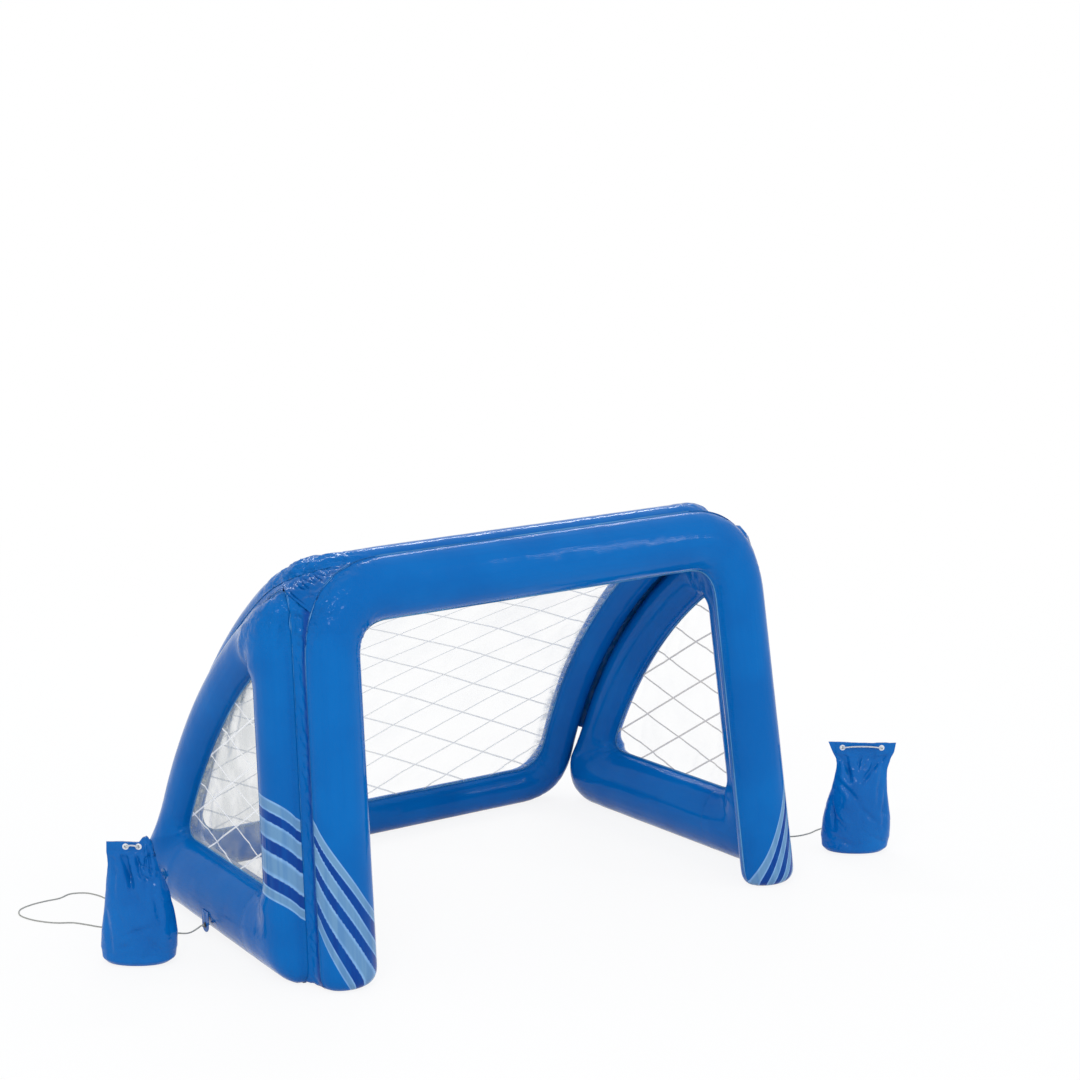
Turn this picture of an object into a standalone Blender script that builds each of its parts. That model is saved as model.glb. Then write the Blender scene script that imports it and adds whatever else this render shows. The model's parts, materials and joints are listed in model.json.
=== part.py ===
"""Inflatable goal: a leaning front arch, two side frames and a back frame of welded vinyl
chambers, with printed film nets in them, air valves, and two tethered weight bags.

X runs along the mouth of the goal, Y from the mouth to the back bar, Z up, in metres.
A frame is a tube lofted between its outer and its inner outline. The outlines are drawn in the
frame's own plane: the arch leans back, the side frames stand upright, and the back frame and its
net are drawn flat and then bent along one arc. The whole goal is narrower at the top (SPLAY) and
at the back (TOE_IN).
"""
import math

import bmesh
import bpy
from mathutils import Matrix, Vector

# The goal as a whole
WIDTH = 1.335
FRAME_DEPTH = 0.79
ARCH_LENGTH = 0.836
LEAN = math.radians(8.0)
SPLAY = math.radians(1.95)
TOE_IN = math.radians(3.3)
GAP = 0.0003
SEAM_CLEARANCE = 0.0015
FLOOR_SINK = 0.004

# Chambers: tube widths in the plane of each frame, and thickness as a share of width
ARCH_TUBE = 0.125
ARCH_PLUMPNESS = 0.80
ARCH_INNER_CUT = 0.075
ARCH_OUTER_CUT = 0.19
FOOT_ROUNDING = 0.045
FOOT_BLUNTNESS = 3.4
SIDE_FRONT_TUBE = 0.130
SIDE_BOTTOM_TUBE = 0.150
SIDE_REAR_TUBE = 0.100
SIDE_PLUMPNESS = 0.80
SIDE_THICKEST = 0.122
SIDE_INNER_CUT = 0.050
SIDE_FRONT_CUT = 0.055
SIDE_REAR_CUT = 0.110
SIDE_TOP_CUT = 0.060
BACK_TUBE = 0.088
BACK_PLUMPNESS = 0.88
BACK_INNER_CUT = 0.080
BACK_OUTER_CUT = 0.150
BACK_BULGE = 0.098

# The seams where two chambers touch: direction from one tube's axis to the other's
FRONT_SEAM_ANGLE = math.radians(57.0)
REAR_SEAM_ANGLE = math.radians(60.0)
TOP_SEAM_ANGLE = math.radians(13.0)
WELD_THICKNESS = 0.0012
WELD_GAP = 0.0006

# Printed film nets
FILM = 0.0012
NET_LINE = 0.0040
NET_LINE_RISE = 0.0005
NET_SPACING = 0.084
NET_ANGLE = math.radians(24.0)
BEND_LENGTH = 0.090

# Air valves
VALVE_FLANGE = 0.0130
VALVE_FLANGE_THICKNESS = 0.0016
VALVE_STEM = 0.0062
VALVE_BORE = 0.0034
VALVE_LIP = 0.0082
VALVE_LIP_THICKNESS = 0.0018
VALVE_RISE = 0.0120
VALVE_DEPTH = 0.0180
VALVE_POCKET = 0.0090
SIDE_VALVE_Y = 0.620
ARCH_VALVE_X = 0.270
ARCH_VALVE_FLAT = 5
BACK_VALVE_X = 0.300
STOPPER_CAP = 0.0078
STOPPER_CAP_THICKNESS = 0.0022
STOPPER_PLUG = 0.0050
STOPPER_TAPER = 0.0010
STRAP_WIDTH = 0.0050
STRAP_THICKNESS = 0.0012
STRAP_REACH = 0.0020
SLIDING_FIT = 0.0003

# Tether tabs on the side frames' bottom tubes
TAB_Y = 0.400
TAB_WIDTH = 0.030
TAB_LENGTH = 0.046
TAB_THICKNESS = 0.0016
TAB_FLOOR_CLEARANCE = 0.012
RING_HOLE = 0.0026
EYELET_HOLE = 0.0032
EYELET_WALL = 0.0012
EYELET_FLANGE = 0.0022
EYELET_LIP = 0.0014
CORD = 0.0032
KNOT = 0.0038

# Weight bags
BAG_HEIGHT = 0.256
BAG_FLOOR_FLAT = 0.002
BAG_HALF_WIDTH = 0.078
BAG_HALF_DEPTH = 0.050
BAG_NECK_WIDTH = 0.062
BAG_NECK_DEPTH = 0.030
BAG_COLLAR_DEPTH = 0.0035
BAG_EYELET_DROP = 0.013
RIGHT_MOUTH_WIDTH = 0.0765
LEFT_MOUTH_WIDTH = 0.0480
RIGHT_EYELET_SPACING = 0.088
LEFT_EYELET_SPACING = 0.026
RIGHT_MOUTH_SHIFT = 0.012
LEFT_MOUTH_SHIFT = -0.005
RIGHT_BAG = (0.835, 0.057)
LEFT_BAG = (-0.815, 0.360)
RIGHT_BAG_TURN = math.radians(-36.0)
LEFT_BAG_TURN = math.radians(-36.0)

# Where the tethers lie on the floor, from the ring to the bag. A third number is how much higher
# than the floor a place is, in cords, where a tether lies over itself.
LEFT_TETHER = (
    (-0.686, 0.455), (-0.738, 0.525), (-0.795, 0.572), (-0.829, 0.626), (-0.874, 0.660), (-0.905, 0.719),
    (-0.896, 0.764), (-0.846, 0.786), (-0.800, 0.784), (-0.757, 0.798), (-0.724, 0.773), (-0.712, 0.722),
    (-0.710, 0.661), (-0.718, 0.600, 0.25), (-0.737, 0.524, 1.1),
)
RIGHT_TETHER = (
    (0.692, 0.451), (0.709, 0.517), (0.734, 0.553), (0.756, 0.516), (0.742, 0.452), (0.721, 0.388),
    (0.715, 0.314), (0.731, 0.244), (0.774, 0.205), (0.821, 0.199), (0.863, 0.209), (0.901, 0.200),
)

# How finely the round pieces are divided
TUBE_SIDES = 14
BEND_STEPS = 9
CORNER_STEPS = 7
ROUND_SIDES = 16
EYELET_SIDES = 12

SKIN = (0.0, 0.13, 0.46, 1.0)
FILM_COLOUR = (0.80, 0.83, 0.86, 0.45)
VALVE_COLOUR = (0.02, 0.17, 0.50, 1.0)
CORD_COLOUR = (0.36, 0.36, 0.34, 1.0)
EYELET_COLOUR = (0.85, 0.87, 0.88, 1.0)
RING_COLOUR = (0.02, 0.03, 0.06, 1.0)


def clear_scene():
    for item in list(bpy.data.objects):
        bpy.data.objects.remove(item, do_unlink=True)


def material(name, colour, roughness):
    found = bpy.data.materials.get(name)
    if found:
        return found
    made = bpy.data.materials.new(name)
    made.use_nodes = True
    shader = made.node_tree.nodes["Principled BSDF"]
    shader.inputs["Base Color"].default_value = colour
    shader.inputs["Roughness"].default_value = roughness
    shader.inputs["Alpha"].default_value = colour[3]
    made.diffuse_color = colour
    return made


def add_mesh(name, bm, finish, origin=(0, 0, 0)):
    """Makes an object of a bmesh drawn in world space, with its own origin."""
    bmesh.ops.recalc_face_normals(bm, faces=bm.faces)
    bmesh.ops.translate(bm, verts=bm.verts, vec=-Vector(origin))
    mesh = bpy.data.meshes.new(name)
    bm.to_mesh(mesh)
    bm.free()
    made = bpy.data.objects.new(name, mesh)
    made.location = origin
    made.data.materials.append(finish)
    bpy.context.collection.objects.link(made)
    mesh.shade_smooth()
    mesh.set_sharp_from_angle(angle=math.radians(40))
    return made


def boolean(target, other, operation):
    cut = target.modifiers.new(other.name, "BOOLEAN")
    cut.operation = operation
    cut.object = other
    cut.solver = "EXACT"
    other.hide_render = True
    other.display_type = "WIRE"


def reach(half_width, half_thickness, angle):
    """How far an ellipse reaches along a direction at an angle to its width."""
    return math.hypot(half_width * math.cos(angle), half_thickness * math.sin(angle))


# Places that follow from the sizes
ARCH_HALF = ARCH_TUBE / 2
ARCH_HALF_DEPTH = ARCH_HALF * ARCH_PLUMPNESS
SIDE_HALF = SIDE_FRONT_TUBE / 2
SIDE_BOTTOM_BULGE = min(SIDE_BOTTOM_TUBE / 2 * SIDE_PLUMPNESS, SIDE_THICKEST / 2)
SIDE_X = WIDTH / 2 - SIDE_THICKEST / 2
FRONT_SEAM_STEP = (
    reach(ARCH_HALF, ARCH_HALF_DEPTH, FRONT_SEAM_ANGLE)
    + reach(SIDE_THICKEST / 2, SIDE_HALF, FRONT_SEAM_ANGLE)
    + SEAM_CLEARANCE
)
SIDE_BEHIND_LEG = FRONT_SEAM_STEP * math.sin(FRONT_SEAM_ANGLE)
FOOT_X = SIDE_X - FRONT_SEAM_STEP * math.cos(FRONT_SEAM_ANGLE) - SIDE_BEHIND_LEG * math.tan(TOE_IN)
BACK_HALF = BACK_TUBE / 2
BACK_HALF_DEPTH = BACK_HALF * BACK_PLUMPNESS
REAR_SEAM_STEP = (
    reach(SIDE_THICKEST / 2, SIDE_BOTTOM_TUBE / 2, REAR_SEAM_ANGLE)
    + reach(BACK_HALF, BACK_HALF_DEPTH, REAR_SEAM_ANGLE)
    + SEAM_CLEARANCE
)
BACK_BEHIND_SIDE = REAR_SEAM_STEP * math.sin(REAR_SEAM_ANGLE)
BACK_X = SIDE_X - REAR_SEAM_STEP * math.cos(REAR_SEAM_ANGLE)
BACK_OFFSET = BACK_BEHIND_SIDE - SIDE_BOTTOM_TUBE / 2
ARCH_UP = Vector((0, math.sin(LEAN), math.cos(LEAN)))
ARCH_BACK = Vector((0, math.cos(LEAN), -math.sin(LEAN)))
BAR_CENTRE = ARCH_UP * (ARCH_LENGTH - ARCH_HALF)


def narrowing(behind, height):
    """How much nearer to the middle the goal's sides are at a place behind its feet and at a height."""
    return height * math.tan(SPLAY) + behind * math.tan(TOE_IN)


def sideways(side):
    """The direction straight out from a side frame's outer face."""
    return Vector((side, math.tan(TOE_IN), math.tan(SPLAY)))


class BackArc:
    """The arc in the YZ plane that the back frame's middle surface follows."""

    def __init__(self):
        top_slope = math.radians(36.0)
        bottom_slope = math.radians(67.0)
        for _ in range(6):
            step = (
                reach(ARCH_HALF_DEPTH, ARCH_HALF, TOP_SEAM_ANGLE + LEAN)
                + reach(BACK_HALF, BACK_HALF_DEPTH, TOP_SEAM_ANGLE + top_slope)
                + SEAM_CLEARANCE
            )
            away = Vector((0, math.cos(TOP_SEAM_ANGLE), math.sin(TOP_SEAM_ANGLE)))
            self.top = BAR_CENTRE + away * step
            rest = reach(BACK_HALF_DEPTH, BACK_HALF, bottom_slope) - FLOOR_SINK
            self.bottom = Vector((0, FRAME_DEPTH, rest))
            chord = self.bottom - self.top
            half = chord.length / 2
            self.radius = half * half / (2 * BACK_BULGE) + BACK_BULGE / 2
            outward = Vector((0, -chord.z, chord.y)).normalized()
            self.centre = (self.top + self.bottom) / 2 + outward * (BACK_BULGE - self.radius)
            tilt = math.atan2(-chord.z, chord.y)
            swing = math.asin(half / self.radius)
            top_slope = tilt - swing
            bottom_slope = tilt + swing
        self.length = 2 * swing * self.radius
        self.bottom_angle = math.pi / 2 - bottom_slope

    def point(self, along, outward=0.0):
        """The place a distance up from the bottom bar's axis and outward from the arc."""
        angle = self.bottom_angle + along / self.radius
        return self.centre + Vector((0, math.cos(angle), math.sin(angle))) * (self.radius + outward)

    def angle_at(self, y, z):
        return math.atan2(z - self.centre.z, y - self.centre.y)

    def height_crossing(self, radius, z):
        """Y where a circle of a radius round the arc's centre passes a height, at the back."""
        return self.centre.y + math.sqrt(radius ** 2 - (z - self.centre.z) ** 2)

    def front_crossing(self, radius, start):
        """Where a circle round the arc's centre meets the leaning line from a floor point."""
        offset = Vector((0, start - self.centre.y, -self.centre.z))
        along = offset.dot(ARCH_UP)
        t = -along + math.sqrt(along ** 2 - offset.length_squared + radius ** 2)
        return Vector((0, start, 0)) + ARCH_UP * t


ARC = BackArc()


def straight(start, end, steps=2):
    """An edge as (place along it, length, steps it is divided into)."""
    return (lambda t: start.lerp(end, t)), (end - start).length, steps


def round_arc(radius, start, end):
    """An edge that follows a circle round the back arc's centre, as (y, z) points."""
    first = ARC.angle_at(start.x, start.y)
    last = ARC.angle_at(end.x, end.y)

    def place(t):
        angle = first + (last - first) * t
        return Vector((ARC.centre.y + radius * math.cos(angle), ARC.centre.z + radius * math.sin(angle)))

    return place, abs(last - first) * radius, BEND_STEPS


def outline(edges, corners, cuts, closed=True):
    """Points of an outline. Each corner is a smooth curve that starts a cut before it.

    edges[i] runs from corners[i] to corners[i + 1], and cuts[i] belongs to corners[i].
    """
    points = []
    count = len(corners)
    for i, (place, length, steps) in enumerate(edges):
        after = (i + 1) % count
        first = cuts[i] / length
        last = 1 - cuts[after] / length
        for k in range(steps + 1):
            points.append(place(first + (last - first) * k / steps))
        if not closed and i == len(edges) - 1:
            break
        leaving = points[-1]
        following, next_length, _ = edges[after]
        entering = following(cuts[after] / next_length)
        for k in range(1, CORNER_STEPS):
            t = k / CORNER_STEPS
            points.append(leaving.lerp(corners[after], t).lerp(corners[after].lerp(entering, t), t))
    return points


def ring(bm, outer, inner, half_thickness, place, scale=1.0):
    """One elliptical section between an outer and an inner outline point."""
    middle = (outer + inner) / 2
    arm = (outer - inner) / 2 * scale
    made = []
    for k in range(TUBE_SIDES):
        angle = 2 * math.pi * k / TUBE_SIDES
        flat = middle + arm * math.cos(angle)
        made.append(bm.verts.new(place(flat, half_thickness * scale * math.sin(angle))))
    return made


def join_rings(bm, first, second):
    count = len(first)
    for k in range(count):
        after = (k + 1) % count
        bm.faces.new((first[k], first[after], second[after], second[k]))


def half_thickness(outer, inner, plumpness, thickest):
    return min((outer - inner).length / 2 * plumpness, thickest / 2)


def facing_pairs(inner, outer, closed=True):
    """Inner outline points and, straight out from each, the places on the outer outline."""
    count = len(inner)
    edges = list(zip(outer, outer[1:] + outer[:1] if closed else outer[1:]))
    pairs = []
    for i, spot in enumerate(inner):
        if closed:
            along = inner[(i + 1) % count] - inner[i - 1]
        else:
            along = inner[min(i + 1, count - 1)] - inner[max(i - 1, 0)]
        out = Vector((along.y, -along.x)).normalized()
        best = None
        for a, b in edges:
            edge = b - a
            turn = out.x * edge.y - out.y * edge.x
            if abs(turn) < 1e-12:
                continue
            offset = a - spot
            far = (offset.x * edge.y - offset.y * edge.x) / turn
            share = (offset.x * out.y - offset.y * out.x) / turn
            if far > 0 and -1e-6 <= share <= 1 + 1e-6 and (best is None or far < best):
                best = far
        pairs.append((spot + out * best, spot))
    return pairs


def closed_tube(outer, inner, plumpness, thickest, place):
    """A chamber between two closed outlines that both run anticlockwise."""
    bm = bmesh.new()
    rings = [
        ring(bm, o, i, half_thickness(o, i, plumpness, thickest), place)
        for o, i in facing_pairs(inner, outer)
    ]
    for k, section in enumerate(rings):
        join_rings(bm, section, rings[(k + 1) % len(rings)])
    return bm


def cut_at_floor(bm):
    """Flattens a chamber where it stands: everything under the floor goes, and the cut is closed."""
    parts = list(bm.verts) + list(bm.edges) + list(bm.faces)
    bmesh.ops.bisect_plane(bm, geom=parts, plane_co=(0, 0, 0), plane_no=(0, 0, -1), clear_outer=True)
    rims = [edge for edge in bm.edges if edge.is_boundary]
    bmesh.ops.holes_fill(bm, edges=rims, sides=0)


def arch_place(flat, off):
    """Arch plane to world: (across, up the arch) and the distance behind its middle surface."""
    spot = ARCH_UP * flat.y + ARCH_BACK * off
    spot.x = flat.x * (1 - narrowing(spot.y, spot.z) / FOOT_X)
    return spot


def arch_outline(half_offset, cut):
    """The arch's open outline, from the right foot up, over and down to the left one."""
    side = FOOT_X + half_offset
    top = ARCH_LENGTH - ARCH_HALF + half_offset
    corners = [Vector(p) for p in ((side, 0), (side, top), (-side, top), (-side, 0))]
    edges = [straight(corners[i], corners[i + 1]) for i in range(3)]
    return outline(edges, corners, [FOOT_ROUNDING, cut, cut, FOOT_ROUNDING], closed=False)


def front_arch(finish):
    outer = arch_outline(ARCH_HALF, ARCH_OUTER_CUT)
    inner = arch_outline(-ARCH_HALF, ARCH_INNER_CUT)
    bm = bmesh.new()
    rings = [ring(bm, o, i, ARCH_HALF_DEPTH, arch_place) for o, i in facing_pairs(inner, outer, False)]
    for section, after in zip(rings, rings[1:]):
        join_rings(bm, section, after)
    for side, last in ((1, rings[0]), (-1, rings[-1])):
        close_foot(bm, side, last)
    cut_at_floor(bm)
    return add_mesh("front_arch", bm, finish)


def close_foot(bm, side, last):
    """Rounds a leg off below its last ring, down to just under the floor."""
    outer = Vector((side * (FOOT_X + ARCH_HALF), 0))
    inner = Vector((side * (FOOT_X - ARCH_HALF), 0))
    depth = FOOT_ROUNDING + FLOOR_SINK
    for t in (0.4, 0.65, 0.8, 0.9, 0.97):
        drop = Vector((0, FOOT_ROUNDING - depth * t))
        share = (1 - t ** FOOT_BLUNTNESS) ** (1 / FOOT_BLUNTNESS)
        section = ring(bm, outer + drop, inner + drop, ARCH_HALF_DEPTH, arch_place, share)
        join_rings(bm, last, section)
        last = section
    tip = bm.verts.new(arch_place(Vector((side * FOOT_X, -FLOOR_SINK)), 0.0))
    for k, vert in enumerate(last):
        bm.faces.new((vert, last[(k + 1) % len(last)], tip))


def side_outline(front_offset, bottom, rear_inset, cuts):
    """A side frame's outline as (y, z) points: front-bottom, rear-bottom, then the top."""
    radius = ARC.radius - BACK_OFFSET - rear_inset
    floor_start = front_offset / math.cos(LEAN)
    front = Vector((floor_start + bottom * math.tan(LEAN), bottom))
    rear = Vector((ARC.height_crossing(radius, bottom), bottom))
    top = ARC.front_crossing(radius, floor_start)
    apex = Vector((top.y, top.z))
    corners = [front, rear, apex]
    edges = [straight(front, rear), round_arc(radius, rear, apex), straight(apex, front)]
    return outline(edges, corners, cuts)


def side_outer():
    cuts = [SIDE_FRONT_CUT, SIDE_REAR_CUT, SIDE_TOP_CUT]
    return side_outline(SIDE_BEHIND_LEG - SIDE_HALF, -FLOOR_SINK, 0.0, cuts)


def side_inner(inset=0.0):
    """The opening's outline, or with an inset the outline of the film in it."""
    cuts = [SIDE_INNER_CUT] * 3
    return side_outline(
        SIDE_BEHIND_LEG + SIDE_HALF + inset,
        SIDE_BOTTOM_TUBE - FLOOR_SINK + inset,
        SIDE_REAR_TUBE + inset,
        cuts,
    )


def side_place(side):
    def place(flat, off):
        return Vector((side * (SIDE_X - narrowing(flat.x, flat.y)) + off, flat.x, flat.y))

    return place


def side_frame(name, side, finish):
    bm = closed_tube(side_outer(), side_inner(), SIDE_PLUMPNESS, SIDE_THICKEST, side_place(side))
    cut_at_floor(bm)
    return add_mesh(name, bm, finish)


def back_place(flat, off):
    """Flat (across, up the arc) to world."""
    spot = ARC.point(flat.y, off)
    spot.x = flat.x * (1 - narrowing(spot.y, spot.z) / BACK_X)
    return spot


def back_outline(half_offset, cut):
    side = BACK_X + half_offset
    low = -half_offset
    high = ARC.length + half_offset
    corners = [Vector(p) for p in ((-side, low), (side, low), (side, high), (-side, high))]
    steps = (2, BEND_STEPS, 2, BEND_STEPS)
    edges = [straight(corners[i], corners[(i + 1) % 4], steps[i]) for i in range(4)]
    return outline(edges, corners, [cut] * 4)


def back_frame(finish):
    outer = back_outline(BACK_HALF, BACK_OUTER_CUT)
    inner = back_outline(-BACK_HALF, BACK_INNER_CUT)
    bm = closed_tube(outer, inner, BACK_PLUMPNESS, BACK_TUBE, back_place)
    cut_at_floor(bm)
    return add_mesh("back_frame", bm, finish)


def prism(points, low, high):
    """A flat outline made into a block between two heights, in the XY plane."""
    bm = bmesh.new()
    base = bm.faces.new([bm.verts.new((p.x, p.y, low)) for p in points])
    grown = bmesh.ops.extrude_face_region(bm, geom=[base])
    top = [item for item in grown["geom"] if isinstance(item, bmesh.types.BMVert)]
    bmesh.ops.translate(bm, verts=top, vec=(0, 0, high - low))
    return bm


def net_strips(points, tilt):
    """The printed lines over an outline: (a point on the line, the direction across it)."""
    low = Vector((min(p.x for p in points), min(p.y for p in points)))
    high = Vector((max(p.x for p in points), max(p.y for p in points)))
    centre = (low + high) / 2
    count = math.ceil((high - low).length / 2 / NET_SPACING)
    strips = []
    for angle in (tilt - NET_ANGLE, tilt + NET_ANGLE):
        across = Vector((-math.sin(angle), math.cos(angle), 0))
        for k in range(-count, count + 1):
            strips.append((centre.to_3d() + across * (k + 0.5) * NET_SPACING, across))
    return strips


def printed_face(bm):
    return [face for face in bm.faces if all(vert.co.z > 0 for vert in face.verts)]


def film_net(points, tilt):
    """A film with its printed diamonds as raised lines, drawn flat, as one closed body."""
    bm = prism(points, -FILM / 2, FILM / 2)
    strips = net_strips(points, tilt)
    for spot, across in strips:
        for side in (-1, 1):
            faces = printed_face(bm)
            parts = set(faces)
            for face in faces:
                parts.update(face.edges)
                parts.update(face.verts)
            cut = spot + across * side * NET_LINE / 2
            bmesh.ops.bisect_plane(bm, geom=list(parts), dist=0.00001, plane_co=cut, plane_no=across)
    lines = []
    for face in printed_face(bm):
        middle = face.calc_center_median()
        if any(abs((middle - spot).dot(across)) < NET_LINE / 2 for spot, across in strips):
            lines.append(face)
    grown = bmesh.ops.extrude_face_region(bm, geom=lines)
    raised = [item for item in grown["geom"] if isinstance(item, bmesh.types.BMVert)]
    bmesh.ops.delete(bm, geom=lines, context="FACES")
    bmesh.ops.translate(bm, verts=raised, vec=(0, 0, NET_LINE_RISE))
    return bm


def back_net(finish):
    bm = film_net(back_outline(-BACK_HALF - GAP, BACK_INNER_CUT), 0.0)
    count = math.ceil(ARC.length / BEND_LENGTH)
    for k in range(1, count):
        parts = list(bm.verts) + list(bm.edges) + list(bm.faces)
        height = ARC.length * k / count
        bmesh.ops.bisect_plane(bm, geom=parts, plane_co=(0, height, 0), plane_no=(0, 1, 0))
    for vert in bm.verts:
        vert.co = back_place(Vector((vert.co.x, vert.co.y)), vert.co.z)
    bmesh.ops.triangulate(bm, faces=bm.faces)
    return add_mesh("back_net", bm, finish)


def side_net(name, side, finish):
    bm = film_net(side_inner(GAP), -LEAN)
    place = side_place(side)
    for vert in bm.verts:
        vert.co = place(Vector((vert.co.x, vert.co.y)), side * vert.co.z)
    bmesh.ops.triangulate(bm, faces=bm.faces)
    return add_mesh(name, bm, finish)


def weld(name, first, second, outward, finish):
    """A thin web of film beside two seam lines, one quadrilateral section per step."""
    bm = bmesh.new()
    sections = []
    for a, b in zip(first, second):
        across = (b - a).normalized()
        lift = (outward - across * outward.dot(across)).normalized()
        shift = outward * (GAP + WELD_THICKNESS / 2)
        start = a + shift + across * WELD_GAP
        end = b + shift - across * WELD_GAP
        half = lift * (WELD_THICKNESS / 2)
        sections.append([bm.verts.new(spot) for spot in (start - half, end - half, end + half, start + half)])
    for near, far in zip(sections, sections[1:]):
        join_rings(bm, near, far)
    bm.faces.new(sections[0])
    bm.faces.new(sections[-1])
    return add_mesh(name, bm, finish)


def front_weld(name, side, finish):
    """Joins a leg's outer seam to the side frame's front seam."""
    low = 2 * SIDE_FRONT_CUT
    high = ARCH_LENGTH - ARCH_OUTER_CUT - ARCH_HALF / 2
    leg, frame = [], []
    for up in (low, (low + high) / 2, high):
        leg.append(arch_place(Vector((side * (FOOT_X + ARCH_HALF), up)), 0.0))
        spot = ARCH_UP * up + ARCH_BACK * (SIDE_BEHIND_LEG - SIDE_HALF)
        frame.append(Vector((side * (SIDE_X - narrowing(spot.y, spot.z)), spot.y, spot.z)))
    return weld(name, leg, frame, Vector((side, 0, 0)), finish)


def rear_weld(name, side, finish):
    """Joins a side frame's rear seam to the back frame's outer seam."""
    low = BACK_OUTER_CUT
    high = ARC.length - BACK_OUTER_CUT
    frame, back = [], []
    for k in range(2 * BEND_STEPS + 1):
        up = low + (high - low) * k / (2 * BEND_STEPS)
        spot = ARC.point(up, -BACK_OFFSET)
        frame.append(Vector((side * (SIDE_X - narrowing(spot.y, spot.z)), spot.y, spot.z)))
        back.append(back_place(Vector((side * (BACK_X + BACK_HALF), up)), 0.0))
    return weld(name, frame, back, Vector((side, 0, 0)), finish)


def top_weld(finish):
    """Joins the arch's top seam to the back frame's top seam."""
    end = BACK_X - BACK_OUTER_CUT
    arch, back = [], []
    for across in (-end, 0.0, end):
        seam = arch_place(Vector((0, ARCH_LENGTH)), 0.0)
        arch.append(Vector((across, seam.y, seam.z)))
        seam = ARC.point(ARC.length + BACK_HALF)
        back.append(Vector((across, seam.y, seam.z)))
    return weld("top_weld", arch, back, Vector((0, 0, 1)), finish)


def turned(bm, profile, sides=ROUND_SIDES):
    """Revolves (radius, height) points round Z into a closed body. The first and last may lie on Z."""
    rows = []
    for radius, height in profile:
        if radius == 0.0:
            rows.append([bm.verts.new((0, 0, height))])
            continue
        row = []
        for k in range(sides):
            angle = 2 * math.pi * k / sides
            row.append(bm.verts.new((radius * math.cos(angle), radius * math.sin(angle), height)))
        rows.append(row)
    for low, high in zip(rows, rows[1:]):
        stitch(bm, low, high, sides)
    if len(rows[0]) > 1:
        stitch(bm, rows[-1], rows[0], sides)


def stitch(bm, low, high, sides):
    for k in range(sides):
        after = (k + 1) % sides
        corners = [low[k % len(low)], low[after % len(low)], high[after % len(high)], high[k % len(high)]]
        kept = [v for i, v in enumerate(corners) if v not in corners[:i]]
        bm.faces.new(kept)


def facing(spot, outward, along):
    """A frame whose Z points outward from a surface and whose X lies along it."""
    z = outward.normalized()
    x = (along - z * along.dot(z)).normalized()
    turn = Matrix((x, z.cross(x), z)).transposed().to_4x4()
    return Matrix.Translation(spot) @ turn


def placed(name, bm, frame, finish, pivot=Vector((0, 0, 0))):
    """Puts a piece drawn round Z into a frame, with its origin at a pivot in that frame."""
    bmesh.ops.transform(bm, matrix=frame, verts=bm.verts)
    return add_mesh(name, bm, finish, frame @ pivot)


def valve(name, chamber, frame, finish):
    """A push-in air valve: a flange on the skin, a stem with a lip, and a stopper on a strap."""
    seat = -VALVE_FLANGE_THICKNESS / 2
    pocket = bmesh.new()
    turned(pocket, [
        (0.0, -VALVE_DEPTH - GAP), (VALVE_POCKET, -VALVE_DEPTH - GAP),
        (VALVE_POCKET, seat - GAP), (VALVE_FLANGE + GAP, seat - GAP),
        (VALVE_FLANGE + GAP, VALVE_RISE), (0.0, VALVE_RISE),
    ])
    boolean(chamber, placed(name + "_pocket", pocket, frame, finish), "DIFFERENCE")

    base = bmesh.new()
    hole = VALVE_STEM + SLIDING_FIT
    turned(base, [
        (hole, seat), (VALVE_FLANGE, seat), (VALVE_FLANGE, seat + VALVE_FLANGE_THICKNESS * 0.6),
        (VALVE_FLANGE - 0.002, seat + VALVE_FLANGE_THICKNESS), (hole, seat + VALVE_FLANGE_THICKNESS),
    ])
    placed(name + "_base", base, frame, finish)

    stem = bmesh.new()
    under_lip = VALVE_RISE - VALVE_LIP_THICKNESS
    turned(stem, [
        (VALVE_BORE, VALVE_RISE - VALVE_DEPTH), (VALVE_STEM, VALVE_RISE - VALVE_DEPTH), (VALVE_STEM, under_lip),
        (VALVE_LIP, under_lip), (VALVE_LIP, VALVE_RISE), (VALVE_BORE, VALVE_RISE),
    ])
    made = placed(name + "_stem", stem, frame, finish)
    fold = VALVE_LIP + STRAP_REACH
    ear = strap_block(VALVE_BORE + 0.002, fold, under_lip, VALVE_RISE)
    boolean(made, placed(name + "_ear", ear, frame, finish), "UNION")

    seat = VALVE_RISE + GAP
    top = seat + STOPPER_CAP_THICKNESS
    plug = VALVE_BORE - SLIDING_FIT
    stopper = bmesh.new()
    turned(stopper, [
        (0.0, seat - STOPPER_PLUG), (plug - STOPPER_TAPER, seat - STOPPER_PLUG), (plug, seat),
        (STOPPER_CAP, seat), (STOPPER_CAP, top - 0.0007), (STOPPER_CAP - 0.001, top), (0.0, top),
    ])
    made = placed(name + "_stopper", stopper, frame, finish, Vector((fold, 0, VALVE_RISE + GAP / 2)))
    strap = strap_block(0.002, fold, seat, seat + STRAP_THICKNESS)
    boolean(made, placed(name + "_strap", strap, frame, finish), "UNION")


def strap_block(near, far, low, high):
    bm = bmesh.new()
    size = Matrix.Diagonal((far - near, STRAP_WIDTH, high - low, 1))
    bmesh.ops.create_cube(bm, size=1.0, matrix=Matrix.Translation(((near + far) / 2, 0, (low + high) / 2)) @ size)
    return bm


def eyelet_profile(hole, half_grip):
    """A ring through a sheet: a short tube with a flange on both faces."""
    flange = EYELET_FLANGE
    out = hole + EYELET_WALL
    grip = half_grip + GAP
    return [
        (hole, -grip - EYELET_LIP), (out + flange, -grip - EYELET_LIP * 0.5),
        (out + flange, -grip), (out, -grip), (out, grip), (out + flange, grip),
        (out + flange, grip + EYELET_LIP * 0.5), (hole, grip + EYELET_LIP),
    ]


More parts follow.
